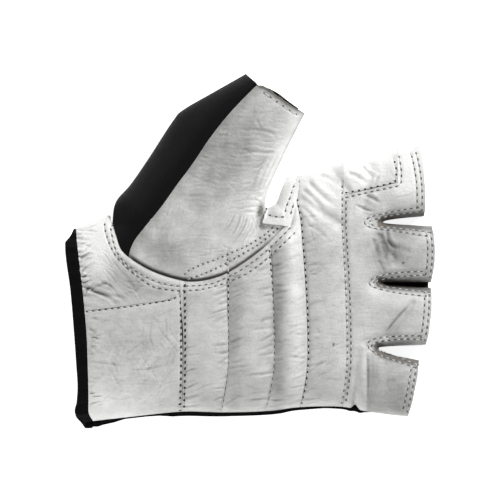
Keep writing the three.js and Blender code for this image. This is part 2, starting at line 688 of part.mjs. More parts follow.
// A black side wall between two fingers: up one finger, round the root of the gap and out along the next
function fourchette(gap) {
  const place = (u, v) => {
    const q = 2 * u - 1;
    const side = Math.sign(q) || 1;
    const endX = (side > 0 ? gap.highX : gap.lowX) - 0.6;
    const x = mix(gap.x - FOURCHETTE_SET, endX, q * q);
    const y = gapEdge(gap, side, x + FOURCHETTE_SET) + side * FOURCHETTE_SET * (1 - Math.exp(-q * q * 30));
    const leather = mix(FOURCHETTE_ROOT, FINGER_SEAM - CLEAR, smooth(Math.abs(q) / 0.4));
    return new THREE.Vector3(x, y, mix(STRETCH + CLEAR, leather, v));
  };
  return curvedWall(place, behind(place, STRETCH), 16, 2);
}

// Black tape bound round the wrist opening, a closed band with rounded edges
function wristTape() {
  const ring = (turn, share) => {
    const yAt = (x) => mix(handLow(x), handHigh(x), 0.5 + 0.5 * Math.cos(turn));
    let x = mix(WRIST[2].edge, WRIST[2].panels - CLEAR, share);
    for (let i = 0; i < 4; i++) x = mix(wristEdge(yAt(x)), wristPanels(yAt(x)) - CLEAR, share);
    const isTop = Math.sin(turn) >= 0;
    const low = handLow(x) - (isTop ? 0 : rimShow(x) * 0.5 * smooth(-Math.sin(turn) * 4));
    const y = isTop ? yAt(x) : mix(low, handHigh(x), 0.5 + 0.5 * Math.cos(turn));
    const fromEdge = Math.min(y - low, handHigh(x) - y);
    const z = isTop ? onPalm(x, y).z : SIDE_SEAM * (1 - shoulder(fromEdge / SIDE_SEAM));
    return new THREE.Vector3(x, y, z);
  };
  const tape = new THREE.TorusGeometry(2, 1, 8, 56);
  const points = tape.getAttribute("position");
  const places = tape.getAttribute("uv");
  const corner = (value) => Math.sign(value) * Math.abs(value) ** 0.5;
  for (let i = 0; i < points.count; i++) {
    const turn = (places.getX(i) % 1) * 2 * Math.PI;
    const around = -(places.getY(i) % 1) * 2 * Math.PI;
    const share = 0.5 + 0.5 * corner(Math.cos(around));
    const across = 0.5 + 0.5 * corner(Math.sin(around));
    const point = ring(turn, share);
    const ahead = ring(turn + 0.01, share);
    const behind = ring(turn - 0.01, share);
    const outward = new THREE.Vector2(ahead.z - behind.z, behind.y - ahead.y).normalize();
    const proud = TAPE_PROUD * smooth(point.z / 3);
    const offset = mix(-TAPE_WALL, proud, across);
    points.setXYZ(i, point.x, point.y + outward.x * offset, point.z + outward.y * offset);
  }
  return tape;
}

piece("heel_panel", heelPanel(), whiteLeather);
piece("wrist_gusset", wristGusset(), whiteLeather);
piece("quilted_palm", quiltedPalm(), whiteLeather);
piece("knuckle_panel", knucklePanel(), whiteLeather);
piece("finger_fronts", fingerFronts(), whiteLeather);
piece("thumb_web", thumbWeb(), whiteLeather);
piece("thumb_front", thumbFront(), whiteLeather);
piece("thumb_back", thumbBack(), blackStretch);
piece("back_panel", backPanel(), blackStretch);
GAPS.forEach((gap) => piece(`fourchette_${gap.name}`, fourchette(gap), blackStretch));
piece("wrist_tape", wristTape(), blackTape);

// The origin is the middle of the glove's footprint, on the surface it lies on
const bounds = new THREE.Box3().setFromObject(glove);
const middle = bounds.getCenter(new THREE.Vector3()).setZ(bounds.min.z);
glove.children.forEach((mesh) => mesh.geometry.translate(-middle.x, -middle.y, -middle.z));

export default glove;
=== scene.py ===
import bmesh
import bpy
import math
import numpy as np
import random
from mathutils import Matrix, Vector, noise


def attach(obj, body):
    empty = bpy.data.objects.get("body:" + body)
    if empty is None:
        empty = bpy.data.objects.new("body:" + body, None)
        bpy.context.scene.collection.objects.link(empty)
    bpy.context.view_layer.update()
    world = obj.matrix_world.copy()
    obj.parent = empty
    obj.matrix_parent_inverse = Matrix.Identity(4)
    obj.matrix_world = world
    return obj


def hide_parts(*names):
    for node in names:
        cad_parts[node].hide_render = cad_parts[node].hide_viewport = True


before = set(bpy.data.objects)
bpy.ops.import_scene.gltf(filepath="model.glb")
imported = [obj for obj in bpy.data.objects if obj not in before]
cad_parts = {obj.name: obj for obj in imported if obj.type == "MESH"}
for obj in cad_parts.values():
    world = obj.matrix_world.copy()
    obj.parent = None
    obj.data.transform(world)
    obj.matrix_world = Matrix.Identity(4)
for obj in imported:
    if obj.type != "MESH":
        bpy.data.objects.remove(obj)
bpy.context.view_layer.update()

# Heel of the palm
# The soft white leather that covers the heel of the hand, cut from one skin and sewn to the wrist
# piece above it and to the quilted palm beside it. It is thin, lightly padded and finely creased.

# All sizes below are in millimetres; to_frame moves them to the frame's origin
mm = 0.001
to_frame = np.array([0.0865, 0.2960, 0.0392])
leather_wall = 1.3
side_seam, finger_seam = 6.0, 7.0  # heights of the seams round the hand and round the fingers
thread_width, stitch_pitch, hole_height = 0.5, 2.8, 0.10
# Along the hand: x, y of its little-finger edge, y of its index edge, and its height
hand = np.array(
    [
        [-84, -77, 5, 15.5],
        [-68, -75.2, 13.8, 17],
        [-53, -73.5, 18, 18.2],
        [-30, -71.2, 21.8, 19.2],
        [-10, -71.5, 24.8, 19.8],
        [9, -70.8, 28.6, 20],
        [22, -69.2, 33.2, 19.6],
        [40, -69, 38.4, 18.8],
        [51, -71, 41.2, 17.8],
        [63, -72.6, 44, 16.6],
        [80, -74.4, 47.2, 15.6],
    ]
)
# Up the wrist: y, x of the binding's outer edge, and x where the leather begins
wrist = np.array(
    [
        [-80, -68.6, -66.0],
        [-77.8, -70.6, -67.3],
        [-75.3, -73.4, -69.0],
        [-71.8, -76.9, -70.8],
        [-67.3, -76.2, -70.9],
        [-60, -75.7, -70.9],
        [-50, -76.3, -71.2],
        [-37, -77.2, -71.7],
        [-18, -78.8, -73.4],
        [3.4, -81.3, -76.0],
        [6.8, -78.7, -76.3],
        [11, -77.2, -76.6],
    ]
)
# Each sewn line across the hand: its x at the little-finger edge, half-way up, and at the top
quilt = [(-29.9, -29.3, -29.9), (-12.3, -9.4, -9.7), (7.3, 10.7, 7.6), (21.9, 25.3, 22.4), (40.6, 43.4, 41.2)]
# Gaps between the fingers: root x and y, then the end of the side by each neighbour
gaps = [
    (56.5, -43.0, 74.4, -48.4, 77.4, -41.8),
    (57.5, -14.2, 79.6, -16.6, 79.6, -14.2),
    (58.5, 12.2, 80.0, 10.6, 76.6, 14.8),
]
crotch = [(7.6, 18.2), (11.4, 20.6), (13.4, 25.6), (16.0, 32.2)]
heel_seam = [(-72.5, -26.8), (-52.0, -24.2), (-34.5, -21.4), (-30.6, -18.0)]
# Deep folds: from, to, width, height
folds = [
    ((49.6, -43), (49.4, -69), 1.7, 0.9),
    ((52.6, -44), (52.4, -70), 1.6, -0.5),
    ((60.5, -38), (71, -23.5), 1.5, -1.4),
    ((58, 6.5), (63.5, -4.5), 3.0, -2.0),
    ((53, 36), (49.5, 18), 2.4, -1.5),
    ((22.5, 22), (39, 11.5), 2.0, -1.3),
    ((35.5, 35.5), (42.5, 26.5), 2.0, -1.4),
    ((2, 6), (7.5, 17), 3.0, -2.0),
]


def clamp01(t):
    return np.clip(t, 0.0, 1.0)


def mix(a, b, t):
    return a + (b - a) * t


def smooth(t):
    return clamp01(t) ** 2 * (3 - 2 * clamp01(t))


def shoulder(t):
    return np.sqrt(1 - (1 - clamp01(t)) ** 2)


def column(rows, which):
    """A column of a table as a smooth function of its first column."""

    def at(value):
        i = np.clip(np.searchsorted(rows[:, 0], value) - 1, 0, len(rows) - 2)
        a, b = rows[i], rows[i + 1]
        before, after = rows[np.maximum(i - 1, 0)], rows[np.minimum(i + 2, len(rows) - 1)]
        span = b[..., 0] - a[..., 0]
        slope_a = (b[..., which] - before[..., which]) / (b[..., 0] - before[..., 0]) * span
        slope_b = (after[..., which] - a[..., which]) / (after[..., 0] - a[..., 0]) * span
        t = clamp01((value - a[..., 0]) / span)
        start, end = 2 * t**3 - 3 * t**2 + 1, 3 * t**2 - 2 * t**3
        leaving, reaching = t**3 - 2 * t**2 + t, t**3 - t**2
        return start * a[..., which] + leaving * slope_a + end * b[..., which] + reaching * slope_b

    return at


hand_side, hand_high, hand_crown = column(hand, 1), column(hand, 2), column(hand, 3)
wrist_edge, wrist_panels = column(wrist, 1), column(wrist, 2)


def hand_low(x):
    """The little-finger edge, with the nick that a fold pulls in it."""
    return hand_side(x) + 2.0 * np.exp(-(((x - 46.3) / 1.3) ** 2))


def plan_line(points):
    """A smooth line through points seen from above, as a function of the share of its length."""
    p = np.array(points, float)

    def at(t):
        s = clamp01(np.asarray(t, float)) * (len(p) - 1)
        i = np.minimum(s.astype(int), len(p) - 2)
        w = (s - i)[..., None]
        before, a, b, after = p[np.maximum(i - 1, 0)], p[i], p[i + 1], p[np.minimum(i + 2, len(p) - 1)]
        v0, v1 = (b - before) / 2, (after - a) / 2
        return (2 * a - 2 * b + v0 + v1) * w**3 + (3 * b - 3 * a - 2 * v0 - v1) * w**2 + v0 * w + a

    return at


def traced(line, start=0.0, end=1.0, steps=40):
    """Points along a line, for measuring distances from it."""
    return line(np.linspace(start, end, steps + 1))


def quilt_line(index, y):
    """The x of one of the sewn lines across the hand."""
    bottom, middle, top = quilt[index]
    below = mix(bottom, middle, np.sin(clamp01((y + 70) / 25) * np.pi / 2))
    above = mix(middle, top, 1 - np.cos(clamp01((y + 45) / 55) * np.pi / 2))
    return np.where(y < -45, below, above)


def line_distance(x, y, line):
    """Distance from a line of points, and how far along the line its nearest point is."""
    best, place, passed = np.full(np.shape(x), 1e9), np.zeros(np.shape(x)), 0.0
    for a, b in zip(line[:-1], line[1:]):
        dx, dy = b[0] - a[0], b[1] - a[1]
        length = math.hypot(dx, dy)
        t = clamp01(((x - a[0]) * dx + (y - a[1]) * dy) / max(length**2, 1e-9))
        d = np.hypot(x - a[0] - t * dx, y - a[1] - t * dy)
        place = np.where(d < best, passed + t * length, place)
        best = np.minimum(best, d)
        passed += length
    return best, place


def gap_edge(gap, side, x):
    """The y of one edge of a gap between two fingers: side is 1 above the gap and -1 below it."""
    root_x, root_y, low_x, low_y, high_x, high_y = gap
    end_x, end_y = (high_x, high_y) if side > 0 else (low_x, low_y)
    return root_y + (end_y - root_y) * np.sqrt(clamp01((x - root_x) / (end_x - root_x)))


def finger_low(i, x):
    return hand_low(x) if i == 0 else gap_edge(gaps[i - 1], 1, x)


def finger_high(i, x):
    return hand_high(x) if i == 3 else gap_edge(gaps[i], -1, x)


def softened(distance, gap, x):
    """Distance from a gap between two fingers, rounded off where the leather is still in one piece."""
    if gap is None:
        return distance
    before = 5 * (1 - smooth((x - 46) / (gap[0] - 46)))
    soft = np.where(x < gap[0], np.maximum(before, 1.2), 1.2 * (1 - smooth((x - gap[0]) / 3)))
    return np.hypot(np.maximum(distance, 0), soft)


def palm_height(x, y):
    """Height of the stuffed palm side over any point of the hand, without its quilting."""
    low, high, crown = hand_low(x), hand_high(x), hand_crown(x)
    y = np.clip(y, low, high)
    rise = shoulder((y - low) / 20) * shoulder((high - y) / 24)
    dome = 1.2 * (1 - np.minimum(1, (2 * (y - low) / (high - low) - 1) ** 2))
    fall = np.where(y < 6.2, 1.0, 0.5 + 0.5 * shoulder(line_distance(x, y, crotch)[0] / 6))
    palm = side_seam + (crown - side_seam + dome) * rise * fall
    parting = smooth((x - 46) / 18)
    arch = np.zeros_like(palm)
    for i, (below, above) in enumerate(zip([None, *gaps], [*gaps, None])):
        here = (y > (below[1] if below else -1e9)) & (y <= (above[1] if above else 1e9))
        up = shoulder(softened(y - finger_low(i, x), below, x) / 11)
        arch = np.where(here, up * shoulder(softened(finger_high(i, x) - y, above, x) / 11), arch)
    relief = np.zeros_like(palm)
    for start, end, width, height in folds:
        relief += height * np.exp(-((line_distance(x, y, [start, end])[0] / width) ** 2))
    finger = finger_seam + (crown - finger_seam) * arch
    return mix(palm, finger, parting) + relief * mix(rise, arch, parting)


def crumple(x, y, size, seed):
    """Smooth random heights from -1 to 1 whose hills are about size across."""
    flat = zip((x / size).ravel(), (y / size).ravel())
    return np.fromiter((noise.noise((a, b, seed)) for a, b in flat), float).reshape(x.shape)


def creased(x, y, creases):
    """Creases in the leather: each has a start, an end, a bend, a width and a depth, and raised lips."""
    total = np.zeros_like(x)
    for x0, y0, x1, y1, bend, width, depth in creases:
        length = math.hypot(x1 - x0, y1 - y0)
        along = ((x - x0) * (x1 - x0) + (y - y0) * (y1 - y0)) / length**2
        off_line = ((y - y0) * (x1 - x0) - (x - x0) * (y1 - y0)) / length
        away = np.abs(off_line - bend * 4 * along * (1 - along))
        near = (along > 0) & (along < 1) & (away < 4 * width)
        a, w = along[near], away[near] / width
        fade = smooth(a / 0.15) * smooth((1 - a) / 0.5)
        total[near] += depth * fade * (0.45 * np.exp(-(((w - 1.9) / 0.9) ** 2)) - np.exp(-(w**2)))
    return total


def scattered(seed, count, x_span, y_span, angle, swing, length, width, depth):
    """Random creases within a region; the angle is in degrees and swing is how far it may differ."""
    pick = random.Random(seed)
    made = []
    for _ in range(count):
        x, y = pick.uniform(*x_span), pick.uniform(*y_span)
        turn, reach = math.radians(pick.gauss(angle, swing)), length * pick.uniform(0.5, 1.4)
        end = (x + reach * math.cos(turn), y + reach * math.sin(turn))
        bend = reach * pick.uniform(-0.12, 0.12)
        made.append((x, y, *end, bend, width * pick.uniform(0.7, 1.4), depth * pick.uniform(0.4, 1.3)))
    return made


def sunk(x, y, rows, edges, edge_drop=0.3, row_dip=0.34):
    """How the leather dips along its rows of stitches and rolls down at its sewn edges."""
    dip = np.zeros_like(x)
    for row in rows:
        away, along = line_distance(x, y, row)
        dip -= (row_dip + 0.12 * np.cos(along * 2 * np.pi / stitch_pitch)) * np.exp(-((away / 0.75) ** 2))
    for edge in edges:
        dip -= edge_drop * clamp01(1.2 - line_distance(x, y, edge)[0] / 1.1) ** 2
    return dip


def painted_light_and_stains(x, y, spots):
    """Soft patches of painted shade or, below zero, painted light, and a few small dark stains: each has
    a middle, its reach along x and y, a turn in degrees and a strength."""
    dark = np.zeros_like(x)
    for middle_x, middle_y, reach_x, reach_y, turn, strength in spots:
        c, s = math.cos(math.radians(turn)), math.sin(math.radians(turn))
        along, away = (x - middle_x) * c + (y - middle_y) * s, (y - middle_y) * c - (x - middle_x) * s
        dark += strength * np.exp(-((along / reach_x) ** 2) - (away / reach_y) ** 2)
    return dark


def painted_crease_shade(lines):
    """Painted shade in the creases, darker where they are deeper."""
    return 0.55 * np.clip(-lines, 0, 0.5)


def rolled(x, y, line, drop, reach):
    """How the leather bends down towards an edge."""
    return -drop * clamp01(1 - (line_distance(x, y, line)[0] - 0.3) / reach) ** 2


def on_grid(across, up):
    """Shares across and up a grid."""
    return np.meshgrid(np.linspace(0, 1, across + 1), np.linspace(0, 1, up + 1))


def stacked(x, y, z):
    return np.stack(np.broadcast_arrays(x, y, z), axis=-1)


def crowd_low(v):
    """Shares that start closer together."""
    return v * v * (2 - v)


def crowd_high(v):
    """Shares that end closer together."""
    return 1 - (1 - v) ** 2


def low_end(line):
    """Where a line across the hand, given as x for each y, meets the little-finger edge."""
    y = -70.0
    for _ in range(4):
        y = hand_low(line(y))
    return y + 0.002


def as_object(bm, name, *materials):
    """The finished mesh as an object of the scene."""
    mesh = bpy.data.meshes.new(name)
    bm.to_mesh(mesh)
    bm.free()
    for material in materials:
        mesh.materials.append(material)
    made = bpy.data.objects.new(name, mesh)
    bpy.context.scene.collection.objects.link(made)
    return made


def cloth_piece(name, patches, wall, material, tints=None):
    """A piece of leather or fabric: each patch is a grid of points on its outer face. The wall is
    added behind them. The attribute cloth has each point's place on the flat cloth, in millimetres,
    and shade its painted shade, below zero its painted light, with a few small stains."""
    bm = bmesh.new()
    cloth = bm.verts.layers.float_vector.new("cloth")
    shade = bm.verts.layers.float.new("shade")
    number = bm.verts.layers.int.new("number")
    for count, points in enumerate(patches):
        rows, columns = points.shape[:2]
        made = bmesh.ops.create_grid(bm, x_segments=columns - 1, y_segments=rows - 1, size=0.5)["verts"]
        across = np.linalg.norm(np.diff(points, axis=1), axis=2).mean(axis=0).cumsum()
        up = np.linalg.norm(np.diff(points, axis=0), axis=2).mean(axis=1).cumsum()
        flat = np.stack(np.meshgrid([0, *across], [0, *up]), axis=-1).reshape(-1, 2)
        tint = np.zeros(rows * columns) if tints is None else tints[count].ravel()
        placed = (points.reshape(-1, 3) + to_frame) * mm
        for vert, point, place, dark in zip(made, placed, flat, tint):
            vert.co = point
            vert[cloth] = (place[0], place[1], 7.0 * count)
            vert[shade] = dark
    bmesh.ops.remove_doubles(bm, verts=bm.verts[:], dist=2e-6)
    bm.normal_update()
    outer = []
    for count, vert in enumerate(bm.verts):
        normal = sum((face.normal * face.calc_area() for face in vert.link_faces), Vector())
        outer.append((vert.co.copy(), normal.normalized()))
        vert[number] = count
    outer_verts = set(bm.verts)
    bmesh.ops.solidify(bm, geom=bm.faces[:], thickness=wall * mm)
    # The wall is made again from the outer face's own normals, so that no fold throws up a spike
    for vert in set(bm.verts) - outer_verts:
        place, normal = outer[vert[number]]
        vert.co = place - normal * wall * mm
    bmesh.ops.recalc_face_normals(bm, faces=bm.faces[:])
    for edge in bm.edges:
        edge.smooth = edge.calc_face_angle(0.0) < 0.9
    for face in bm.faces:
        face.smooth = True
    return as_object(bm, name, material)


class Value:
    """An output of a shader node. Arithmetic on it adds the nodes that do the same."""

    def __init__(self, shader, socket):
        self.shader, self.socket = shader, socket

    def math(self, operation, *others):
        return self.shader.node("Math", {"operation": operation}, dict(enumerate((self, *others))))

    def __add__(self, other):
        return self.math("ADD", other)

    def __sub__(self, other):
        return self.math("SUBTRACT", other)

    def __rsub__(self, other):
        return self.shader.node("Math", {"operation": "SUBTRACT"}, {0: other, 1: self})

    def __mul__(self, other):
        return self.math("MULTIPLY", other)

    def __pow__(self, other):
        return self.math("POWER", other)

    __radd__, __rmul__ = __add__, __mul__


class Shader:
    """A material with one Principled shader whose sockets are set or fed by name."""

    def __init__(self, name, **constants):
        self.material = bpy.data.materials.new(name)
        self.material.use_nodes = True
        self.tree = self.material.node_tree
        self.principled = self.tree.nodes["Principled BSDF"]
        for socket, value in constants.items():
            self.principled.inputs[socket.replace("_", " ")].default_value = value

    def node(self, kind, settings, sockets, output=0):
        made = self.tree.nodes.new("ShaderNode" + kind)
        for key, value in settings.items():
            setattr(made, key, value)
        for key, value in sockets.items():
            if isinstance(value, Value):
                self.tree.links.new(value.socket, made.inputs[key])
            else:
                made.inputs[key].default_value = value
        return Value(self, made.outputs[output])

    def feed(self, socket, value):
        self.tree.links.new(value.socket, self.principled.inputs[socket])

    def place(self):
        """Position on the piece, in millimetres."""
        where = self.node("TexCoord", {}, {}, "Object")
        return self.node("VectorMath", {"operation": "SCALE"}, {0: where, "Scale": 1000.0})

    def noise(self, where, scale, detail=2.0, roughness=0.5):
        values = {"Vector": where, "Scale": scale, "Detail": detail, "Roughness": roughness}
        return self.node("TexNoise", {}, values)

    def between(self, share, first, second):
        first, second = (c if isinstance(c, Value) else (*c, 1.0) for c in (first, second))
        return self.node("Mix", {"data_type": "RGBA"}, {0: share, 6: first, 7: second}, 2)

    def bump(self, height):
        """Turns the normal by a height in millimetres."""
        self.feed("Normal", self.node("Bump", {}, {"Strength": 1.0, "Distance": mm, "Height": height}))


def leather_finish(name, pale, dark, brown_of_stains_and_shadows):
    """Dyed goatskin: pebbled grain, hair-fine creases, uneven tone, and painted shade and light from the shade
    attribute, brown where deepest for stains and deep shadows.
    """
    shader = Shader(name, Specular_IOR_Level=0.32, Sheen_Weight=0.04)
    where = shader.place()
    cells = {"Vector": where, "Scale": 1.15, "Smoothness": 0.6}
    pebbles = shader.node("TexVoronoi", {"feature": "SMOOTH_F1"}, cells)
    pores = shader.noise(where, 2.6, 3.0, 0.6)
    wander = shader.noise(where, 0.16, 3.0)
    veins = shader.noise(where, 0.30, 4.0, 0.6)
    veins = 1.0 - ((veins - 0.5).math("ABSOLUTE") * 22.0).math("MINIMUM", 1.0)
    across_hand = {"Vector": where, "Rotation": (0.0, 0.0, -0.22), "Scale": (0.28, 1.5, 1.0)}
    drawn = shader.node("Mapping", {}, across_hand)
    streaks = shader.noise(drawn, 0.55, 5.0, 0.62)
    shaded = shader.node("Attribute", {"attribute_name": "shade"}, {}, "Fac")
    # The mix between pale and dark: uneven tone from the noises, plus painted shade and painted light from the
    # shade attribute
    painted_light_mix = (wander - 0.5) * 0.45 + veins * 0.06 + (pores - 0.5) * 0.2 + (streaks - 0.5) * 0.25 + shaded + 0.43
    painted_light_mix = painted_light_mix.math("MAXIMUM", 0.0).math("MINIMUM", 1.0)
    # Where the painted shade is deepest the colour turns brown, for stains and for deep painted shadows
    stain_and_deep_shade = ((shaded - 0.5) * 1.6).math("MAXIMUM", 0.0).math("MINIMUM", 0.85)
    shader.feed("Base Color", shader.between(stain_and_deep_shade, shader.between(painted_light_mix, pale, dark), brown_of_stains_and_shadows))
    shader.feed("Roughness", 0.46 + (pores - 0.5) * 0.25 + wander * 0.1)
    shader.bump(pebbles * -0.09 + pores * 0.09 + streaks * 0.22 - veins * 0.035)
    return shader.material


# Pale leather, the dark that painted shade pulls it towards, and the brown of stains and deep painted shadows
pale, dark, brown_of_stains_and_shadows = (0.83, 0.835, 0.82), (0.17, 0.171, 0.164), (0.14, 0.115, 0.094)
white_leather = leather_finish("white_leather", pale, dark, brown_of_stains_and_shadows)
thread = Shader("white_thread", Base_Color=(0.60, 0.60, 0.60, 1), Roughness=0.7, Specular_IOR_Level=0.2)
strands = thread.node("TexWave", {"bands_direction": "DIAGONAL"}, {"Vector": thread.place(), "Scale": 1.6})
thread.bump(strands * 0.05)


def hole_finish(name, dark, pale):
    """Painted shade of the dent that a needle leaves: a dark mark, a little uneven."""
    shader = Shader(name, Roughness=0.9, Specular_IOR_Level=0.05)
    shader.feed("Base Color", shader.between(shader.noise(shader.place(), 0.5), dark, pale))
    return shader.material


# Needle holes are dark marks of painted shade; those on the hems are a paler grey
hole_shadow = hole_finish("needle_hole", (0.025, 0.025, 0.024), (0.08, 0.08, 0.077))
pale_hole_shadow = hole_finish("faded_needle_hole", (0.06, 0.06, 0.055), (0.22, 0.218, 0.21))


def sew(name, rows, patches, pitch=stitch_pitch, hole_size=(0.84, 0.42), phase=0.0, slant=0.0, mark=pale_hole_shadow):
    """Rows of lockstitch: between two needle holes, each a dark mark of painted shade, the thread lies on the
    surface of the patches.
    """
    points = np.concatenate([p.reshape(-1, 3) for p in patches])
    normals = [np.cross(np.gradient(p, axis=1), np.gradient(p, axis=0)).reshape(-1, 3) for p in patches]
    normals = np.concatenate(normals)
    lengths = np.linalg.norm(normals, axis=1, keepdims=True)
    sound = lengths[:, 0] > 1e-9
    points, normals = points[sound], (normals / np.maximum(lengths, 1e-9))[sound]
    points, normals = points[normals[:, 2] > 0.05], normals[normals[:, 2] > 0.05]
    bm = bmesh.new()
    for order, row in enumerate(rows):
        row = np.asarray(row, float)
        passed = np.concatenate([[0], np.linalg.norm(np.diff(row, axis=0), axis=1).cumsum()])
        at = np.arange((phase + 0.5 * (order % 2)) * pitch, passed[-1] - 0.3, pitch / 2)
        behind, places, ahead = (
            np.stack([np.interp(at + step, passed, row[:, axis]) for axis in (0, 1)], axis=-1)
            for step in (-0.6, 0.0, 0.6)
        )
        for number, (place, heading) in enumerate(zip(places, ahead - behind)):
            away = np.hypot(points[:, 0] - place[0], points[:, 1] - place[1])
            near = np.argsort(away)[:4]
            if away[near[0]] > 1.2:
                continue
            weight = 1 / (away[near] + 0.05)
            up = Vector((normals[near] * weight[:, None]).sum(axis=0)).normalized()
            z = (points[near, 2] * weight).sum() / weight.sum()
            side = up.cross(Vector((heading[0], heading[1], 0.0))).normalized()
            along = side.cross(up)
            turned = Matrix((along, side, up)).transposed().to_4x4()
            spot = Vector((place[0], place[1], z)) + Vector(to_frame)
            is_thread = number % 2
            thread_size = (pitch / 2 - hole_size[0] * 0.7, thread_width / 2, 0.24)
            sizes = thread_size if is_thread else (*hole_size, hole_height)
            lift = 0.06 if is_thread else 0.03
            twist = Matrix.Rotation(0.0 if is_thread else slant, 4, "Z")
            moved = Matrix.Translation((spot + up * lift) * mm) @ turned @ twist
            scaled = moved @ Matrix.Diagonal((*(s * mm for s in sizes), 1.0))
            made = bmesh.ops.create_uvsphere(bm, u_segments=8, v_segments=5, radius=1.0, matrix=scaled)
            for face in {f for v in made["verts"] for f in v.link_faces}:
                face.material_index = 0 if is_thread else 1
                face.smooth = True
    stitches = as_object(bm, name, thread.material, mark)
    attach(stitches, "root")


u, v = on_grid(104, 118)
seam = plan_line(heel_seam)
top = seam(u)


def heel_across(at):
    return mix(wrist_panels(at), quilt_line(0, at) - 0.1, u)


y = mix(low_end(heel_across), top[..., 1] - 0.06, crowd_low(v))
x = heel_across(y) + (top[..., 0] - heel_across(top[..., 1])) * smooth((v - 0.5) / 0.5)
seam_stitches = [(-71.6, -27.1), (-52.0, -24.7), (-36.0, -22.2), (-32.4, -20.6), (-30.9, -17.6)]
seam_row = traced(plan_line(seam_stitches))
side_ys = np.linspace(-70.5, -17.5, 60)
side_row = np.stack([quilt_line(0, side_ys) - 0.9, side_ys], axis=-1)
heel_creases = [(-71, -49.3, -50, -52.6, 0.8, 0.5, 0.3), (-53, -52.6, -31, -48.0, -1.4, 0.45, 0.32)]
heel_folds = [
    (-64, -75, -50, -50, 1.5, 1.5, 0.34),
    (-57, -75, -42, -54, 1.0, 1.5, 0.30),
    (-49, -75, -36, -62, 1.0, 1.4, 0.28),
    (-66, -62, -58, -36, -1.0, 1.3, 0.2),
    (-60, -44, -45, -34, 1.0, 1.0, 0.2),
    (-50, -62, -36, -44, 1.2, 1.2, 0.2),
]
heel_creases += scattered(3, 40, (-70, -38), (-70, -28), 12, 16, 14, 0.36, 0.15)
heel_creases += scattered(4, 44, (-68, -34), (-52, -28), -60, 16, 10, 0.36, 0.15)
heel_creases += scattered(6, 36, (-68, -36), (-72, -46), 48, 14, 11, 0.45, 0.15)
heel_creases += scattered(5, 26, (-71, -69), (-70, -28), 4, 14, 5, 0.45, 0.35)
lines = creased(x, y, heel_creases)
z = palm_height(x, y) + lines + creased(x, y, heel_folds)
z += 0.45 * crumple(x, y, 11, 1.0) * smooth((y - hand_low(x)) / 8)
heel_edges = [traced(seam), np.stack([quilt_line(0, side_ys), side_ys], axis=-1)]
z += sunk(x, y, [seam_row, side_row], heel_edges)
heel_points = stacked(x, y, z)
# Painted light pales the bottom of the heel; the creases get painted shade
heel_spots = [(-66, -72, 16, 11, 30, -0.5), (-46, -68, 20, 6, 25, -0.2), (-50, -36, 18, 8, 0, 0.06)]
heel_shade = painted_light_and_stains(x, y, heel_spots) + painted_crease_shade(lines)
heel = cloth_piece("heel_of_palm", [heel_points], leather_wall, white_leather, [heel_shade])
sew("heel_stitches", [seam_row], [heel_points], hole_size=(0.7, 0.32), mark=hole_shadow)
side_hole = (0.84, 0.6)
sew("heel_side_stitches", [side_row], [heel_points], hole_size=side_hole, slant=-0.6, mark=hole_shadow)
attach(heel, "root")
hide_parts("heel_panel")

# Wrist piece
# White leather between the wrist binding, the heel and the thumb opening. Elastic sewn behind it
# gathers it beside the binding, and it wraps round the index side of the hand.

opening_edge = [(-61.8, 15.4), (-59.0, 6.6), (-55.4, -1.2), (-44, -8.8), (-30.8, -13.2), (-22, -13.6)]
opening_edge += [(-11.9, -11), (-2.2, -5.3), (7, 1.8), (12.6, 7.6), (17.6, 12.6)]


def straight(a, b):
    return lambda t: np.asarray(a) + (np.asarray(b) - np.asarray(a)) * np.asarray(t)[..., None]


def patch(bottom, top, left, right):
    """A four-sided patch between four lines seen from above."""

    def at(u, v):
        corners = [np.asarray(line(share)) for line in (bottom, top) for share in (0.0, 1.0)]
        u2, v2 = u[..., None], v[..., None]
        ruled = mix(mix(corners[0], corners[1], u2), mix(corners[2], corners[3], u2), v2)
        return mix(bottom(u), top(u), v2) + mix(left(v), right(v), u2) - ruled

    return at


def turned_under(x, high, turn):
    """The leather wrapped round the index side; turn is the angle past the widest line."""
    return stacked(x, high - side_seam * (1 - np.cos(turn)), side_seam * (1 - np.sin(turn)))


wrap_angle = math.radians(68)
u, v = on_grid(150, 150)
edge = plan_line(opening_edge)
corner, opening_share, flat = 0.16, 0.4, 0.8
wrist_x = wrist_panels(9.4)
wrist_top = (wrist_x, hand_high(wrist_x))


def gusset_outline(u):
    u = np.asarray(u, float)
    side = straight(wrist_top, edge(0.0))(u / corner)
    return np.where((u < corner)[..., None], side, edge((u - corner) / (1 - corner) * opening_share))


def gusset_bottom(u):
    return seam(np.asarray(u, float) ** 1.6) + (0.0, 0.06)


def gusset_left(v):
    y = mix(gusset_bottom(0.0)[1], wrist_top[1], np.asarray(v, float))
    return np.stack([wrist_panels(y), y], axis=-1)


straight_left = straight(gusset_left(0.0), gusset_left(1.0))
straight_right = straight(gusset_bottom(1.0), gusset_outline(1.0))
gusset_plan = patch(gusset_bottom, gusset_outline, straight_left, straight_right)
on_side = 1 - smooth((u - corner + 0.05) / 0.06)
share = np.minimum(1, v / flat)
level = mix(share, crowd_high(share), on_side)
plan = gusset_plan(u, level)
bulge = gusset_left(level)[..., 0] - straight_left(level)[..., 0]
x, y = plan[..., 0] + bulge * (1 - u) ** 5 - 0.1 * u, plan[..., 1]
from_wrist = np.maximum(x - wrist_panels(y), 0)
ridges = np.sin(y * 2 * np.pi / 3.3 + 1.9 * np.sin(y / 2.3) + 0.25 * from_wrist)
ridges += 0.8 * np.sin(y * 2 * np.pi / 2.1 + 0.3 * from_wrist + 2.0)
ridges += 1.4 * crumple(x * 0.6, y * 1.5, 2.6, 8.0)
gather = 0.34 * ridges * np.exp(-from_wrist / 2.8) * (1 - share**6)
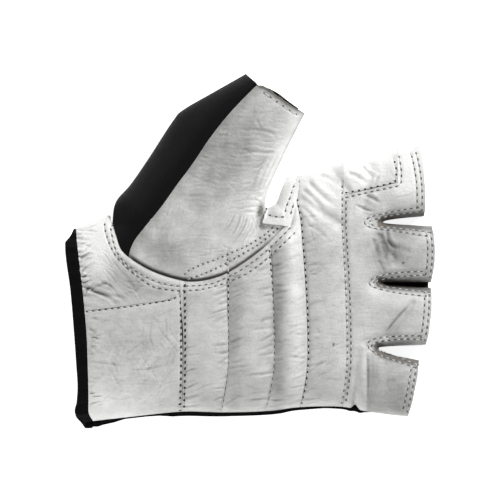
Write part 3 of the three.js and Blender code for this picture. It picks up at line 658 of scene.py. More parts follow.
opening_outer = [(-63.9, 12.0), (-63.4, 8.0), (-61.6, 2.5), (-58.5, -3.1), (-53.4, -8.2)]
opening_outer += [(-48.4, -12.3), (-43.4, -15.7), (-39.6, -16.9), (-33.3, -17.8), (-30.9, -17.9)]
opening_inner = [(-61.4, 11.2), (-60.8, 7.4), (-59.2, 0.9), (-56.3, -4.0), (-51.3, -8.4)]
opening_inner += [(-46.3, -11.5), (-41.0, -13.9), (-35.8, -15.3), (-31.2, -15.9)]
gusset_rows = [traced(plan_line(opening_outer)), traced(plan_line(opening_inner))]
gusset_creases = [
    (-74.0, -15.0, -52, -20.5, -1.8, 0.8, 0.55),
    (-73.4, -17.0, -60, -12.5, -1.0, 0.7, 0.6),
    (-73.0, -17.6, -56, -25.5, 1.6, 0.8, 0.5),
    (-73.2, -19.5, -66, -21.0, 0.5, 0.5, 0.4),
    (-74.5, -10.0, -66, -5.0, 0.8, 0.6, 0.45),
    (-75.0, -4.5, -68, -1.0, 0.8, 0.6, 0.45),
    (-66.5, -13.6, -59, -17.5, 0.4, 0.6, 0.35),
    (-64, -16, -52, -25.5, 0.8, 0.9, 0.2),
    (-56, -12, -46, -22, 0.6, 0.8, 0.12),
]
gusset_creases += scattered(11, 46, (-77, -72), (-21, 9), 22, 18, 6, 0.42, 0.42)
gusset_creases += scattered(12, 22, (-68, -50), (-20, 2), -50, 14, 10, 0.4, 0.14)
gusset_creases += scattered(13, 12, (-58, -38), (-23, -14), 14, 14, 9, 0.4, 0.12)
opening_part = traced(edge, 0, 0.42)
inner = smooth(line_distance(x, y, opening_part)[0] / 4.0 - 0.2)
lines = creased(x, y, gusset_creases) * inner
relief = lines + 0.3 * crumple(x, y, 10, 2.0) * smooth(from_wrist / 3) * inner
relief += sunk(x, y, gusset_rows, [traced(seam)]) + rolled(x, y, opening_part, 0.9, 2.2)
point = stacked(x, y, palm_height(x, y) + gather + relief * (1 - on_side * share**3))
turn = np.maximum(v - flat, 0) / (1 - flat) * wrap_angle * on_side
under = turned_under(x, y, turn)
under[..., 0] += (wrist_panels(under[..., 1]) - wrist_panels(y) + 0.6) * (1 - u) ** 2 * on_side
under[..., 2] += point[..., 2] - side_seam
gusset_points = np.where((v > flat)[..., None], under, point)
# Patches of painted shade, the top painted paler as painted light, and painted shade in the creases and gathers
gusset_spots = [(-54, -12, 9, 5, -48, 0.28), (-66, -17, 5, 4, 0, 0.15)]
gusset_spots += [(-68, 4, 9, 14, 0, -0.6), (-42, -18, 8, 2.5, -10, 0.2)]
gusset_shade = painted_light_and_stains(x, y, gusset_spots) + painted_crease_shade(lines) + painted_crease_shade(gather * (from_wrist > 0.4))
gusset = cloth_piece("wrist_piece", [gusset_points], leather_wall, white_leather, [gusset_shade])
sew("wrist_piece_stitches", gusset_rows, [gusset_points], phase=0.3)
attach(gusset, "root")
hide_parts("wrist_gusset")

# Quilted palm
# Foam ribs quilted under white leather that carry the load of a bar across the palm. The leather
# is sewn down between them, which pulls it into short creases at the stitches.


def knuckle_seam(y):
    return mix(quilt_line(3, y), 20.3, smooth((y - 10) / 14))


rib_pad = 2.6
web_from = 0.93
web_top = np.array((knuckle_seam(np.array(23.4)) - 0.05, 23.4))


def palm_top(u):
    opening = edge(mix(0.4, 1.0, clamp01(u / web_from)))
    web = straight(edge(1.0), web_top)(clamp01((u - web_from) / (1 - web_from)))
    return np.where((u < web_from)[..., None], opening, web)


palm_ys = np.linspace(-70.5, 24, 70)
palm_edges = [
    np.stack([quilt_line(0, palm_ys), palm_ys], axis=-1)[:42],
    np.stack([knuckle_seam(palm_ys), palm_ys], axis=-1),
    traced(edge, 0.38, 1.0),
]
pick = random.Random(21)
puckers = []
for index, low, high in ((0, -69, -18), (1, -69, -8), (2, -69, 2), (3, -69, 20)):
    y_at = low
    while y_at < high:
        for way in (1, -1):
            if pick.random() < 0.8:
                reach, rise = pick.uniform(5, 12), math.radians(pick.gauss(16, 9))
                start = (float(quilt_line(index, np.array(y_at))) + way * 0.2, y_at + way * 0.3)
                end = (start[0] + way * reach * math.cos(rise), start[1] + way * reach * math.sin(rise))
                bend, width, depth = pick.uniform(-0.6, 0.6), pick.uniform(0.4, 0.65), pick.uniform(0.12, 0.45)
                puckers.append((*start, *end, bend, width, depth))
        y_at += pick.uniform(2.2, 5.0)
puckers += scattered(22, 90, (-28, 20), (-68, -2), 14, 18, 10, 0.36, 0.15)
palm_rows = []
for index, top_y, aside in ((0, -14.0, 0.9), (1, -7.0, 0.0), (2, 1.6, 0.0)):
    row_ys = np.linspace(-70.2, top_y, 60)
    palm_rows.append(np.stack([quilt_line(index, row_ys) + aside, row_ys], axis=-1))
hem_outer = [(-29.0, -17.9), (-27.0, -17.8), (-20.7, -17.2), (-14.5, -15.6), (-8.2, -13.6)]
hem_outer += [(-1.9, -10.6), (3.8, -6.8), (8.6, -2.7), (14.5, 2.6), (19.6, 7.6)]
hem_inner = [(-29.0, -15.9), (-20.7, -15.4), (-14.5, -14.0), (-5.0, -9.4), (1.3, -5.2)]
hem_inner += [(6.6, -0.9), (11.0, 3.0), (15.4, 7.3), (18.3, 10.4)]
hem_rows = [traced(plan_line(hem_outer)), traced(plan_line(hem_inner))]
# Painted shade on the left sides of the ribs and painted light on their right sides and near the top, as if lit
# from the upper right; painted shade in the puckers
palm_spots = [(20.5, -20, 3.5, 60, 0, -0.25), (12, -32, 3.2, 50, 0, 0.28), (-6.5, -30, 3, 60, 0, 0.14)]
palm_spots += [(12, 6, 9, 5, 35, -0.2), (-26, -40, 2.5, 50, 0, -0.08), (16, 10, 7, 9, 30, -0.25)]
palm_patches, palm_shades = [], []
for rib in range(3):
    t, v = on_grid(38, 168)
    u = (rib + t) / 3
    top = palm_top(u)

    def rib_across(at):
        right = knuckle_seam(at) if rib == 2 else quilt_line(rib + 1, at)
        return mix(quilt_line(rib, at), right, t) + 0.12 * (0.5 - u)

    y = mix(low_end(rib_across), top[..., 1] - 0.1, crowd_low(v))
    x = rib_across(y) + (top[..., 0] - rib_across(top[..., 1])) * smooth((v - 0.6) / 0.4)
    crown = np.abs(np.sin(np.pi * t)) ** 0.7
    pad = rib_pad * crown * smooth(v / 0.12) * smooth((1 - v) / 0.08)
    lines = creased(x, y, puckers)
    relief = lines + 0.3 * crumple(x, y, 9, 3.0) * smooth(v / 0.1)
    relief += sunk(x, y, palm_rows + hem_rows, palm_edges[:2]) + rolled(x, y, palm_edges[2], 0.9, 2.2)
    palm_patches.append(stacked(x, y, palm_height(x, y) + pad + relief))
    palm_shades.append(painted_light_and_stains(x, y, palm_spots) + painted_crease_shade(lines))
palm = cloth_piece("palm_ribs", palm_patches, leather_wall, white_leather, palm_shades)
sew("palm_side_stitches", palm_rows[:1], palm_patches, hole_size=side_hole, phase=0.5, slant=-0.6, mark=hole_shadow)
sew("palm_stitches", palm_rows[1:], palm_patches, hole_size=(0.6, 0.52), phase=0.5, mark=hole_shadow)
sew("opening_hem_stitches", hem_rows, palm_patches)
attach(palm, "root")
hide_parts("quilted_palm")

# Knuckle rib
# A flatter padded rib across the hand below the fingers, of the same leather. It runs on beside the
# finger fronts to the index finger and wraps round that side of the hand.

knuckle_pad = 1.6
strip_flat = 0.86
u, v = on_grid(44, 250)
share = np.minimum(1, v / strip_flat)


def strip_across(at):
    return mix(knuckle_seam(at) + 0.06, quilt_line(4, at) - 0.06, u)


high = hand_high(strip_across(hand_high(strip_across(np.full(u.shape, 10.0)))))
y = mix(low_end(strip_across), high, smooth(share))
x = strip_across(y)
strip_ys = np.linspace(-69.5, 30, 90)
seam_left = np.stack([knuckle_seam(strip_ys), strip_ys], axis=-1)
seam_right = np.stack([quilt_line(4, strip_ys), strip_ys], axis=-1)
row_left = seam_left[2:] + (0.35, 0)
row_right = seam_right[2:] - (0.75, 0)
knuckle_creases = [
    (22.5, 27, 33, 16, 1.0, 1.0, 0.55),
    (25, 31, 40, 19, -1.4, 1.2, 0.6),
    (21.5, 20, 30, 10, 1.0, 0.9, 0.45),
    (24, 12, 36, 3, 0.8, 0.7, 0.3),
    (30, 33, 41, 27, 1.0, 1.0, 0.4),
]
knuckle_creases += scattered(31, 60, (23, 38), (-68, 10), 12, 22, 9, 0.36, 0.16)
knuckle_creases += scattered(32, 10, (22, 36), (4, 26), -40, 10, 10, 0.4, 0.14)
knuckle_creases += [c for c in puckers if c[2] > 22]
crown = np.sin(np.pi * u)
pad = knuckle_pad * crown * smooth(v / strip_flat / 0.1) * smooth((1 - v / strip_flat) / 0.35)
lines = creased(x, y, knuckle_creases)
relief = lines + 0.3 * crumple(x, y, 8, 4.0) * smooth(share / 0.08)
relief += sunk(x, y, [row_left, row_right], [seam_left, seam_right])
strip = stacked(x, y, palm_height(x, y) + pad + relief * smooth((1 - share) / 0.05))
# Painted light pales the top of the strip; one small dark speck of dirt; painted shade in the creases
strip_spots = [(30, 28, 9, 16, 0, -0.45), (26, -30, 4, 40, 0, 0.04), (36.6, -41.5, 0.4, 0.7, 0, 0.9)]
strip_shade = painted_light_and_stains(x, y, strip_spots) + painted_crease_shade(lines)
turn = np.maximum(v - strip_flat, 0) / (1 - strip_flat) * wrap_angle
strip = np.where((v > strip_flat)[..., None], turned_under(x, high, turn), strip)

left_x, left_y, right_x, right_y = 41.6, 24.2, 64.8, 29.6
arm_flat = 0.7
u, v = on_grid(54, 64)
share = np.minimum(1, v / arm_flat)
x = mix(left_x - 0.6, right_x - 0.1, u)
seam_y = mix(left_y, right_y, (x - left_x) / (right_x - left_x)) + 0.1
high = hand_high(x)
y = mix(seam_y, high, crowd_high(share))
arm_row = [(40.9, 24.9), (48.4, 26.2), (57.2, 28.2), (63.6, 29.8), (64.1, 31.5), (64.3, 35.0), (63.0, 41.0)]
arm_row = np.array(arm_row)
arm_edge = np.array([(left_x, left_y), (right_x, right_y)])
arm_creases = [
    (42.5, 34, 52, 28.5, 0.8, 0.9, 0.6),
    (49, 37, 56.5, 31.0, -0.8, 0.8, 0.45),
    (55, 29, 57.5, 33.5, 0.4, 0.7, 0.4),
]
arm_creases += scattered(33, 12, (42, 62), (27, 40), -35, 25, 8, 0.4, 0.14)
lines = creased(x, y, arm_creases)
relief = lines + 0.3 * crumple(x, y, 8, 4.0)
relief += sunk(x, y, [arm_row], [arm_edge])
arm = stacked(x, y, palm_height(x, y) + relief * smooth((1 - share) / 0.1))
# Painted light pales the top of the index side; painted shade in the creases
arm_shade = painted_light_and_stains(x, y, [(52, 37, 14, 9, 12, -0.55)]) + painted_crease_shade(lines)
turn = np.maximum(v - arm_flat, 0) / (1 - arm_flat) * wrap_angle
arm = np.where((v > arm_flat)[..., None], turned_under(x, high, turn), arm)
knuckle = cloth_piece("knuckle_rib", [strip, arm], leather_wall, white_leather, [strip_shade, arm_shade])
sew("knuckle_side_stitches", [row_right], [strip, arm], hole_size=(0.66, 0.48), slant=-0.5)
sew("knuckle_stitches", [row_left, arm_row], [strip, arm], hole_size=(0.6, 0.48), mark=hole_shadow)
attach(knuckle, "root")
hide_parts("knuckle_panel")

# Finger fronts
# One overlay of white leather forms the fronts of all four fingers. It is slit between them, and its
# edges are folded under and sewn with two rows round each slit and at each finger's end.

fingers = [(69.5, 74.4, 0.4), (77.4, 79.6, 0.8), (79.6, 80.0, 1.2), (76.6, 73.4, 1.6)]
gap_rows = [
    [(74.4, -50.6), (70.4, -49.2), (64.5, -46.9), (57.9, -44.6), (54.1, -42.9), (53.5, -41.6)],
    [(74.1, -52.4), (70.4, -50.9), (63.1, -48.4), (55.7, -45.6), (52.2, -43.0), (51.7, -40.7)],
    [(79.0, -18.6), (73.3, -18.0), (66.0, -17.1), (58.7, -16.1), (55.0, -15.2), (54.4, -14.1)],
    [(79.0, -20.4), (73.3, -19.9), (64.5, -18.8), (57.2, -17.2), (53.2, -15.7), (52.4, -13.8)],
    [(79.2, 7.6), (73.3, 8.6), (64.5, 9.5), (57.2, 10.3), (53.4, 11.1), (52.2, 12.2)],
    [(79.2, 5.8), (71.9, 7.0), (63.1, 8.4), (54.3, 9.5), (51.3, 10.7), (50.2, 12.5)],
]
gap_rows[0] += [(56.5, -40.3), (61.6, -39.6), (69.1, -39.1), (76.5, -39.4)]
gap_rows[1] += [(55.0, -38.9), (60.9, -38.1), (68.9, -37.7), (76.5, -37.8)]
gap_rows[2] += [(57.2, -13.1), (62.3, -12.0), (69.7, -11.4), (78.0, -10.8)]
gap_rows[3] += [(55.7, -11.7), (62.3, -10.3), (69.7, -9.6), (78.0, -9.2)]
gap_rows[4] += [(54.3, 13.3), (59.4, 14.6), (66.0, 15.9), (75.4, 17.0)]
gap_rows[5] += [(52.8, 14.4), (58.7, 16.0), (66.0, 17.5), (75.4, 18.8)]
gap_rows = [traced(plan_line(row)) for row in gap_rows]


def end_of(i, share):
    low, high, bulge = fingers[i]
    return mix(low, high, share) + bulge * 4 * share * (1 - share)


def end_row(i, setback):
    share = np.linspace(0.07, 0.93, 24)
    x = end_of(i, share) - setback
    y = mix(finger_low(i, x), finger_high(i, x), share)
    return np.stack([x, y], axis=-1)


end_rows = [end_row(i, setback) for i in range(4) for setback in ((1.4, 3.6) if i == 3 else (1.0, 3.0))]
gap_lines = []
for gap in gaps:
    for side, end in ((1, gap[4]), (-1, gap[2])):
        xs = mix(gap[0], end, np.linspace(0, 1, 30) ** 2)
        gap_lines.append(np.stack([xs, gap_edge(gap, side, xs)], axis=-1))
overlay_row = [(41.9, 22.9), (48.4, 24.4), (57.2, 26.4), (64.4, 27.9), (66.3, 29.4), (66.5, 34.3), (65.4, 41.5)]
overlay_row = np.array(overlay_row)
overlay_side = np.stack([quilt_line(4, np.minimum(palm_ys[:68], 10)), palm_ys[:68]], axis=-1)
row_overlay = overlay_side[2:] + (0.9, 0)
front_rows = [*gap_rows, *end_rows, overlay_row, row_overlay]
front_creases = [
    (59.4, -36.5, 72.6, -22.0, 0.6, 0.5, 0.7),
    (56, 8, 60, -6, 1.5, 1.1, 0.6),
    (60, 9, 64, 0, -1.2, 0.8, 0.5),
    (50.5, 24.0, 57.5, 19.5, 0.8, 0.8, 0.7),
    (46, 20, 56, 16.5, -0.5, 0.6, 0.5),
    (51.2, -44, 51.2, -69.5, 0.5, 0.5, 0.35),
]
front_creases += scattered(41, 9, (54, 66), (-6, 8), -60, 20, 8, 0.8, 0.3)
front_creases += scattered(42, 60, (44, 76), (-68, 24), 20, 38, 8, 0.38, 0.12)
# Patches on the finger fronts: painted shade over the middle finger and in its dent, brown where deepest as a
# stain; painted light on the index top; one speck of dirt
front_spots = [
    (68, 0, 15, 12, 0, 0.22),
    (59, 2, 4, 7, 25, 0.30),
    (64, 9, 9, 2.5, -5, 0.20),
    (56, -2, 2.5, 5, 30, 0.12),
    (62, -30, 10, 8, 0, 0.10),
    (70, 34, 8, 12, 0, -0.50),
    (67.3, -5.7, 0.45, 0.45, 0, 1.0),
    (46, 20, 5, 5, 0, -0.10),
]


def front_surface(x, y):
    relief = creased(x, y, front_creases) + 0.3 * crumple(x, y, 7, 5.0)
    for line in gap_lines:
        relief += rolled(x, y, line, 1.6, 2.6)
    relief += sunk(x, y, front_rows, [overlay_side])
    return palm_height(x, y) + relief * smooth((y - hand_low(x)) / 3) * smooth((hand_high(x) - y) / 3)


def front_shade(x, y):
    """Painted shade on the folded hems where they roll down into the gaps; on the middle finger's hem it is
    deep enough to turn brown, as it has yellowed.
    """
    dark = painted_light_and_stains(x, y, front_spots) + painted_crease_shade(creased(x, y, front_creases))
    # Painted shade along each hem band beside a gap
    for line, strength in zip(gap_lines, (0.35, 0.55, 0.35, 0.50, 0.66, 0.45)):
        dark += strength * smooth((3.4 - line_distance(x, y, line)[0]) / 2.4)
    # Painted shade beside the fold at the root of the little finger
    little = smooth((x - 50.6) / 1.4) * smooth((-43 - y) / 4)
    return dark + 0.26 * little


front_patches = []
root_columns, end_columns = 34, 46
steps = np.concatenate([np.linspace(0, 1, root_columns + 1), 1 + np.linspace(0, 1, end_columns + 1)[1:]])
for i in range(4):
    s, v = np.meshgrid(steps, np.linspace(0, 1, 60))
    share = smooth(v)
    low_root, high_root = gaps[max(i - 1, 0)][0], gaps[min(i, 2)][0]
    near_low, near_high = (finger_low(i, left_x), finger_high(i, left_x)) if i < 3 else (gaps[2][1], left_y)
    near_y = mix(near_low, near_high, share)
    start = quilt_line(4, np.minimum(near_y, 10)) + 0.06
    root = mix(low_root, high_root, share)
    end = end_of(i, share) if i < 3 else np.full_like(share, right_x)
    x = np.where(s <= 1, mix(start, root, clamp01(s)), mix(root, end, clamp01(s - 1)))
    seam_y = mix(left_y, right_y, (x - left_x) / (right_x - left_x)) - 0.1
    y = mix(finger_low(i, x), seam_y if i == 3 else finger_high(i, x), share)
    front_patches.append(stacked(x, y, front_surface(x, y)))

s, v = on_grid(24, 59)
share = smooth(v)
x = mix(right_x, end_of(3, share * 0.5), s)
split_y = mix(right_y - 0.1, 30.5, s)
y = mix(finger_low(3, x), split_y, share)
front_patches.append(stacked(x, y, front_surface(x, y)))
end_flat = 0.6
s, v = on_grid(24, 70)
share = np.minimum(1, v / end_flat)
x = mix(right_x, end_of(3, 0.5 + 0.5 * share), s)
high = hand_high(x)
y = mix(mix(right_y - 0.1, 30.5, s), high, crowd_high(share))
turn = np.maximum(v - end_flat, 0) / (1 - end_flat) * wrap_angle
upper = np.where((v > end_flat)[..., None], turned_under(x, high, turn), stacked(x, y, front_surface(x, y)))
front_patches.append(upper)
tints = [front_shade(p[..., 0], p[..., 1]) for p in front_patches]
fronts = cloth_piece("finger_overlay", front_patches, leather_wall, white_leather, tints)
sew("finger_stitches", front_rows, front_patches, phase=0.2)
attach(fronts, "root")
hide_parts("finger_fronts")

# Thumb web
# A narrow strip of white leather bent down into the hollow between thumb and index finger.

web_seam = [(5.9, 13.4), (12.4, 12.4), (17.2, 12.8), (19.5, 24.0), (20.0, 31.6)]
u, v = on_grid(60, 40)
web_flat = 0.6
a, b = plan_line(crotch)(u), plan_line(web_seam)(u)
width = np.linalg.norm(b - a, axis=-1, keepdims=True)
share = crowd_high(np.minimum(1, v / web_flat))[..., None]
plan = mix(b + (b - a) / width * 1.4, a, share)
x, y = plan[..., 0], plan[..., 1]
web_rows = [
    np.array([(20.2, 30.4), (18.6, 26.4), (17.6, 22.9), (16.3, 19.8), (15.4, 16.4)]),
    np.array([(7.4, 15.6), (11.4, 14.6), (15.4, 14.4)]),
]
lowered = 1.5 * smooth((16 - x) / 7) * smooth((17.5 - y) / 4)
z = palm_height(x, y) + 0.25 + sunk(x, y, web_rows, []) - lowered
down = clamp01((v - web_flat) / (1 - web_flat))
inward = (b - a) / width * (1.2 * down**2)[..., None]
web_points = stacked(x + inward[..., 0], y + inward[..., 1], mix(z, 1.6, down))
# The strip is painted paler all over, as painted light on its slope
web = cloth_piece("thumb_web_strip", [web_points], 1.0, white_leather, [np.full_like(x, -0.5)])
beside_web = np.array([(21.4, 29.9), (20.6, 26.0), (20.0, 22.9), (18.9, 19.4), (17.8, 15.6)])
sew("web_stitches", [*web_rows, beside_web], [web_points, strip, palm_patches[2]])
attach(web, "root")
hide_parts("thumb_web")

# Thumb front
# The white leather front of the thumb. It goes under the edge of the thumb opening, where both are
# sewn through, and it lies in soft folds that run out from the hollow beside the palm.

thumb_left = [(-60.5, 12), (-59, 21.2), (-52.2, 29.4), (-44, 41.4), (-33.9, 57)]
thumb_left += [(-29.4, 61.8), (-16.3, 69.4), (-1.8, 77.6)]
thumb_right = [(17, 10), (8.2, 15.6), (7.4, 24.4), (14.6, 41), (18.9, 49.7), (24.2, 60.2)]
thumb_root = [(-60.5, 12), (-60.5, -0.5), (-53.2, -6.4), (-43, -13.2), (-30.5, -17.2), (-20.5, -17.4)]
thumb_root += [(-9.5, -14.6), (1, -8.6), (11, -0.6), (17, 10)]
thumb_under_root = [(-60.5, 12), (-20, 16.2), (17, 17.5)]
thumb_seam = [(-53.2, -6.4), (-53.0, -1.6), (-50.9, 3.8), (-47.2, 8.8), (-39.2, 18.6)]
thumb_seam += [(-31.9, 28.8), (-24.8, 38.4), (-17.4, 49.4), (-8.3, 60.8), (2.7, 72.2)]
thumb_tip = [(24.2, 60.2), (20.5, 62.2), (16.6, 64.6), (11.7, 68.0), (6.2, 71.9), (2.7, 72.2)]
thumb_side = 5.5
left_line, right_line = plan_line(thumb_left), plan_line(thumb_right)
seam_line, root_line = plan_line(thumb_seam), plan_line(thumb_root)
left_trace, right_trace = traced(left_line, steps=110), traced(right_line, steps=90)
seam_on_root = 2 / 9


def thumb_height(x, y):
    """Height of the upper face of the thumb: under the palm at its root, its own arch further out."""
    along = ((x + 22) * 33 + (y + 2) * 71) / (33**2 + 71**2)
    crown = mix(17.4, 15.2, smooth(along))
    left = shoulder(line_distance(x, y, left_trace)[0] / 19)
    right = shoulder(line_distance(x, y, right_trace)[0] / 19)
    arch = thumb_side + (crown - thumb_side) * left * right
    root = np.maximum(palm_height(x, np.where(x < -40, np.minimum(y, 11.0), y)) - 2.0, thumb_side)
    height = mix(root, arch, smooth((line_distance(x, y, thumb_root)[0] - 3.5) / 11))
    tuck = smooth((x + 54) / 4) * smooth((14 - x) / 6)
    return height - 1.5 * np.exp(-((line_distance(x, y, traced(edge))[0] / 1.0) ** 2)) * tuck


def thumb_under(edge, inside, turn):
    """Round the edge and under the thumb from its side line."""
    inward = inside - edge
    inward = inward / np.linalg.norm(inward, axis=-1, keepdims=True)
    reach = thumb_side * (1 - np.cos(turn))
    moved = edge + inward * reach[..., None]
    return stacked(moved[..., 0], moved[..., 1], thumb_side * (1 - np.sin(turn)))


front_flat = 0.84
front_plan = patch(
    right_line,
    seam_line,
    lambda t: root_line(mix(1.0, seam_on_root, np.asarray(t, float))),
    plan_line(thumb_tip),
)
u, v = on_grid(240, 190)
share = clamp01((v - 1 + front_flat) / front_flat)
plan = front_plan(u, share**1.6)
x, y = plan[..., 0], plan[..., 1]
upper_row = [(-28.6, -10.6), (-26.4, -8.8), (-20.7, -6.2), (-14.5, -4.0)]
upper_row += [(-7.9, -1.1), (-1.3, 1.8), (6.6, 6.8), (11.0, 11.0)]
lower_row = [(-29.0, -12.9), (-26.4, -12.6), (-18.5, -9.7), (-11.9, -6.6)]
lower_row += [(-3.5, -1.8), (3.5, 2.2), (7.9, 5.7), (12.3, 9.6)]
thumb_rows = [traced(plan_line(row)) for row in (upper_row, lower_row)]
thumb_rows.append(np.array([(-10.2, -6.5), (-9.9, -5.0), (-9.7, -2.2), (-9.6, 0.5)]))
tip_row = np.array([(6.2, 69.0), (10.0, 66.4), (13.6, 63.8), (16.9, 61.7), (19.4, 60.1), (22.2, 58.9)])
thumb_creases = [
    (-1.2, 14.9, -9.4, 1.6, 1.2, 0.42, 0.42),
    (-4.2, 15.4, -11.2, 3.6, 1.2, 0.42, 0.38),
    (1.4, 13.8, -6.4, 1.2, 1.2, 0.42, 0.3),
    (-6.4, 16.6, -14.0, 6.6, 1.2, 0.42, 0.3),
    (-2.6, 15.4, -10.2, 2.4, 1.4, 0.3, 0.25),
    (0.2, 14.2, -7.8, 1.2, 1.2, 0.3, 0.25),
    (3.6, 14.0, -2.4, 3.2, 0.8, 0.6, 0.3),
    (5.4, 15.8, -5.0, 16.2, -0.6, 0.5, 0.22),
    (5.8, 18.6, -9.6, 14.6, -2.0, 0.5, 0.2),
    (6.0, 21.0, -12.0, 18.0, -2.4, 0.5, 0.15),
    (6.2, 24.0, -8.0, 25.0, -1.6, 0.5, 0.12),
    (5.2, 26.0, 13.6, 44.0, 0.4, 0.5, 0.4),
    (3.0, 25.0, 11.0, 43.0, 0.5, 0.5, 0.3),
    (1.0, 27.0, 9.0, 45.0, 0.5, 0.5, 0.22),
    (12, 43, -10, 47, 1.5, 0.8, 0.3),
    (13, 50, -8, 53, -1.5, 0.8, 0.25),
    (-46, -4, -30, 10, 1.6, 1.6, 0.12),
]
fine_creases = scattered(51, 190, (-30, 8), (20, 66), 14, 26, 9, 0.5, 0.15)
fine_creases += scattered(52, 70, (-42, 4), (-8, 22), 40, 30, 9, 0.45, 0.15)
fine_creases += scattered(53, 34, (-44, -30), (-4, 20), 60, 20, 7, 0.42, 0.14)
seam_trace = traced(seam_line, steps=90)
from_seam, from_right = line_distance(x, y, seam_trace)[0], line_distance(x, y, right_trace)[0]
off_seam = smooth(from_seam / 3)
lines = creased(x, y, thumb_creases) * off_seam
relief = lines + creased(x, y, fine_creases) * off_seam + 0.35 * crumple(x, y, 7, 6.0) * off_seam
ripples = smooth((y - 18) / 8) * smooth((from_right - 3) / 8) * smooth(from_seam / 6)
relief += 0.05 * np.sin(y * 2 * np.pi / 1.9 + 9.0 * crumple(x, y, 11, 6.5)) * ripples
relief += sunk(x, y, thumb_rows + [tip_row], []) + rolled(x, y, seam_trace, 0.15, 1.0)
fade = smooth(from_right / 3.0)
top_face = stacked(x, y, thumb_height(x, y) + relief * fade)
turn = (1 - np.minimum(v / (1 - front_flat), 1)) * wrap_angle * smooth((u - 0.15) / 0.15)
inside = front_plan(u, np.full_like(u, 0.2))
below = thumb_under(plan, inside, turn)
below[..., 2] += thumb_height(x, y) - thumb_side
thumb_points = np.where((v < 1 - front_flat)[..., None], below, top_face)
# Patches on the thumb front: darker in its middle and at its root, its right side and the shadowed corner below
# the web paler as painted light, and a dark patch of painted shadow in the gap at the crotch
thumb_spots = [(-10, 42, 28, 12, 60, 0.34), (-36, -2, 12, 7, -40, 0.30), (10, 34, 4, 26, -22, -0.35)]
thumb_spots += [(-13, 14, 12, 7, 20, -0.08), (4.6, 17.2, 1.4, 3.4, -14, 1.1), (9.5, 11.5, 4.0, 3.5, 30, -0.5)]
# Painted shade beside the seam with the black back, and in the creases
thumb_shade = 0.2 * smooth((6.0 - from_seam) / 6.0) + painted_light_and_stains(x, y, thumb_spots) + painted_crease_shade(lines)
# Painted shadow in the crevice under the edge of the thumb opening, deep enough to turn brown
thumb_shade += 1.1 * np.exp(-((line_distance(x, y, traced(edge))[0] / 0.9) ** 2)) * smooth((10 - x) / 8)
from_tip = line_distance(x, y, thumb_tip)[0]
thumb_shade += 0.95 * np.exp(-((from_tip / 1.0) ** 2)) * smooth((25 - x) / 5) * off_seam
# Painted shade in a thin line along the right edge, where the leather turns down
thumb_shade += 0.3 * np.exp(-(((from_right - 0.4) / 0.5) ** 2)) * smooth((y - 26) / 4)
thumb = cloth_piece("thumb_front_leather", [thumb_points], leather_wall, white_leather, [thumb_shade])
sew("thumb_stitches", thumb_rows, [thumb_points], pitch=2.3, hole_size=(0.46, 0.6))
sew("thumb_tip_stitches", [tip_row], [thumb_points], pitch=3.4, hole_size=(0.5, 0.5))
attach(thumb, "root")
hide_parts("thumb_front")

# Thumb back
# Black stretch fabric that covers the outer side and the underside of the thumb and shows as a long
# stripe beside its white front. It is a fine twill, painted paler away from the seam as painted light where it
# bends.


def stretch_finish(name, dark, grey, thread_pitch):
    """Stretch twill: slanted ribs of thread, crossed by finer ones, with short fuzz, painted paler by the shade
    attribute as painted sheen.
    """
    shader = Shader(name, Specular_IOR_Level=0.08, Sheen_Weight=0.10, Sheen_Roughness=0.4)
    cloth = shader.node("Attribute", {"attribute_name": "cloth"}, {}, "Vector")
    turned = shader.node("Mapping", {}, {"Vector": cloth, "Rotation": (0.0, 0.0, 0.9)})
    waves = {"Scale": 0.314 / thread_pitch, "Distortion": 0.6, "Detail": 1.0, "Detail Scale": 2.0}
    ribs = shader.node("TexWave", {"bands_direction": "X"}, {"Vector": turned, **waves})
    finer = {**waves, "Scale": 0.314 / thread_pitch * 1.6}
    cross = shader.node("TexWave", {"bands_direction": "Y"}, {"Vector": turned, **finer})
    fuzz = shader.noise(shader.place(), 1.6, 4.0, 0.65)
    weave = ribs * 0.7 + cross * 0.3
    # The shade attribute carries painted sheen
    painted_light_mix = shader.node("Attribute", {"attribute_name": "shade"}, {}, "Fac")
    paleness = (weave * fuzz * 1.3 + painted_light_mix * fuzz).math("MINIMUM", 1.0)
    shader.feed("Base Color", shader.between(paleness, dark, grey))
    shader.feed("Roughness", 0.72 + fuzz * 0.2)
    shader.bump(weave * 0.12 + fuzz * 0.05)
    return shader.material


black_stretch = stretch_finish("black_stretch", (0.0014, 0.0014, 0.0016), (0.009, 0.009, 0.0098), 0.8)
stretch_wall = 1.2
top_share, rim_share = 0.4, 0.65
top_plan = patch(
    left_line,
    seam_line,
    lambda t: root_line(mix(0.0, seam_on_root, np.asarray(t, float))),
    straight(left_line(1.0), seam_line(1.0)),
)
lining_tip = [(-1.8, 77.6), (2.7, 71.6), (7.2, 70.6), (11.8, 68.6), (16.7, 65.3), (20.6, 62.9), (24.6, 60.7)]
under_plan = patch(left_line, right_line, plan_line(thumb_under_root), plan_line(lining_tip))
u, v = on_grid(150, 130)
share = 1 - np.minimum(v / top_share, 1)
plan = top_plan(u, share**1.6 * 0.997)
x, y = plan[..., 0], plan[..., 1]
lump = 0.25 * crumple(x, y, 10, 7.0) * smooth(share / 0.3)
lump += rolled(x, y, seam_trace, 0.6, 1.0)
upper = stacked(x, y, thumb_height(x, y) + lump)
rim_edge, rim_inside = left_line(u), under_plan(u, np.full_like(u, 0.3))
turn = clamp01((v - top_share) / (rim_share - top_share)) * np.pi / 2
side = thumb_under(rim_edge, rim_inside, turn)
side[..., 2] += (thumb_height(rim_edge[..., 0], rim_edge[..., 1]) - thumb_side) * np.cos(turn)
across = clamp01((v - rim_share) / (1 - rim_share))
start = thumb_under(rim_edge, rim_inside, np.full_like(u, np.pi / 2))
begun = under_plan(u, np.full_like(u, 0.125))
flat_plan = under_plan(u, mix(0.125, 0.865, across))
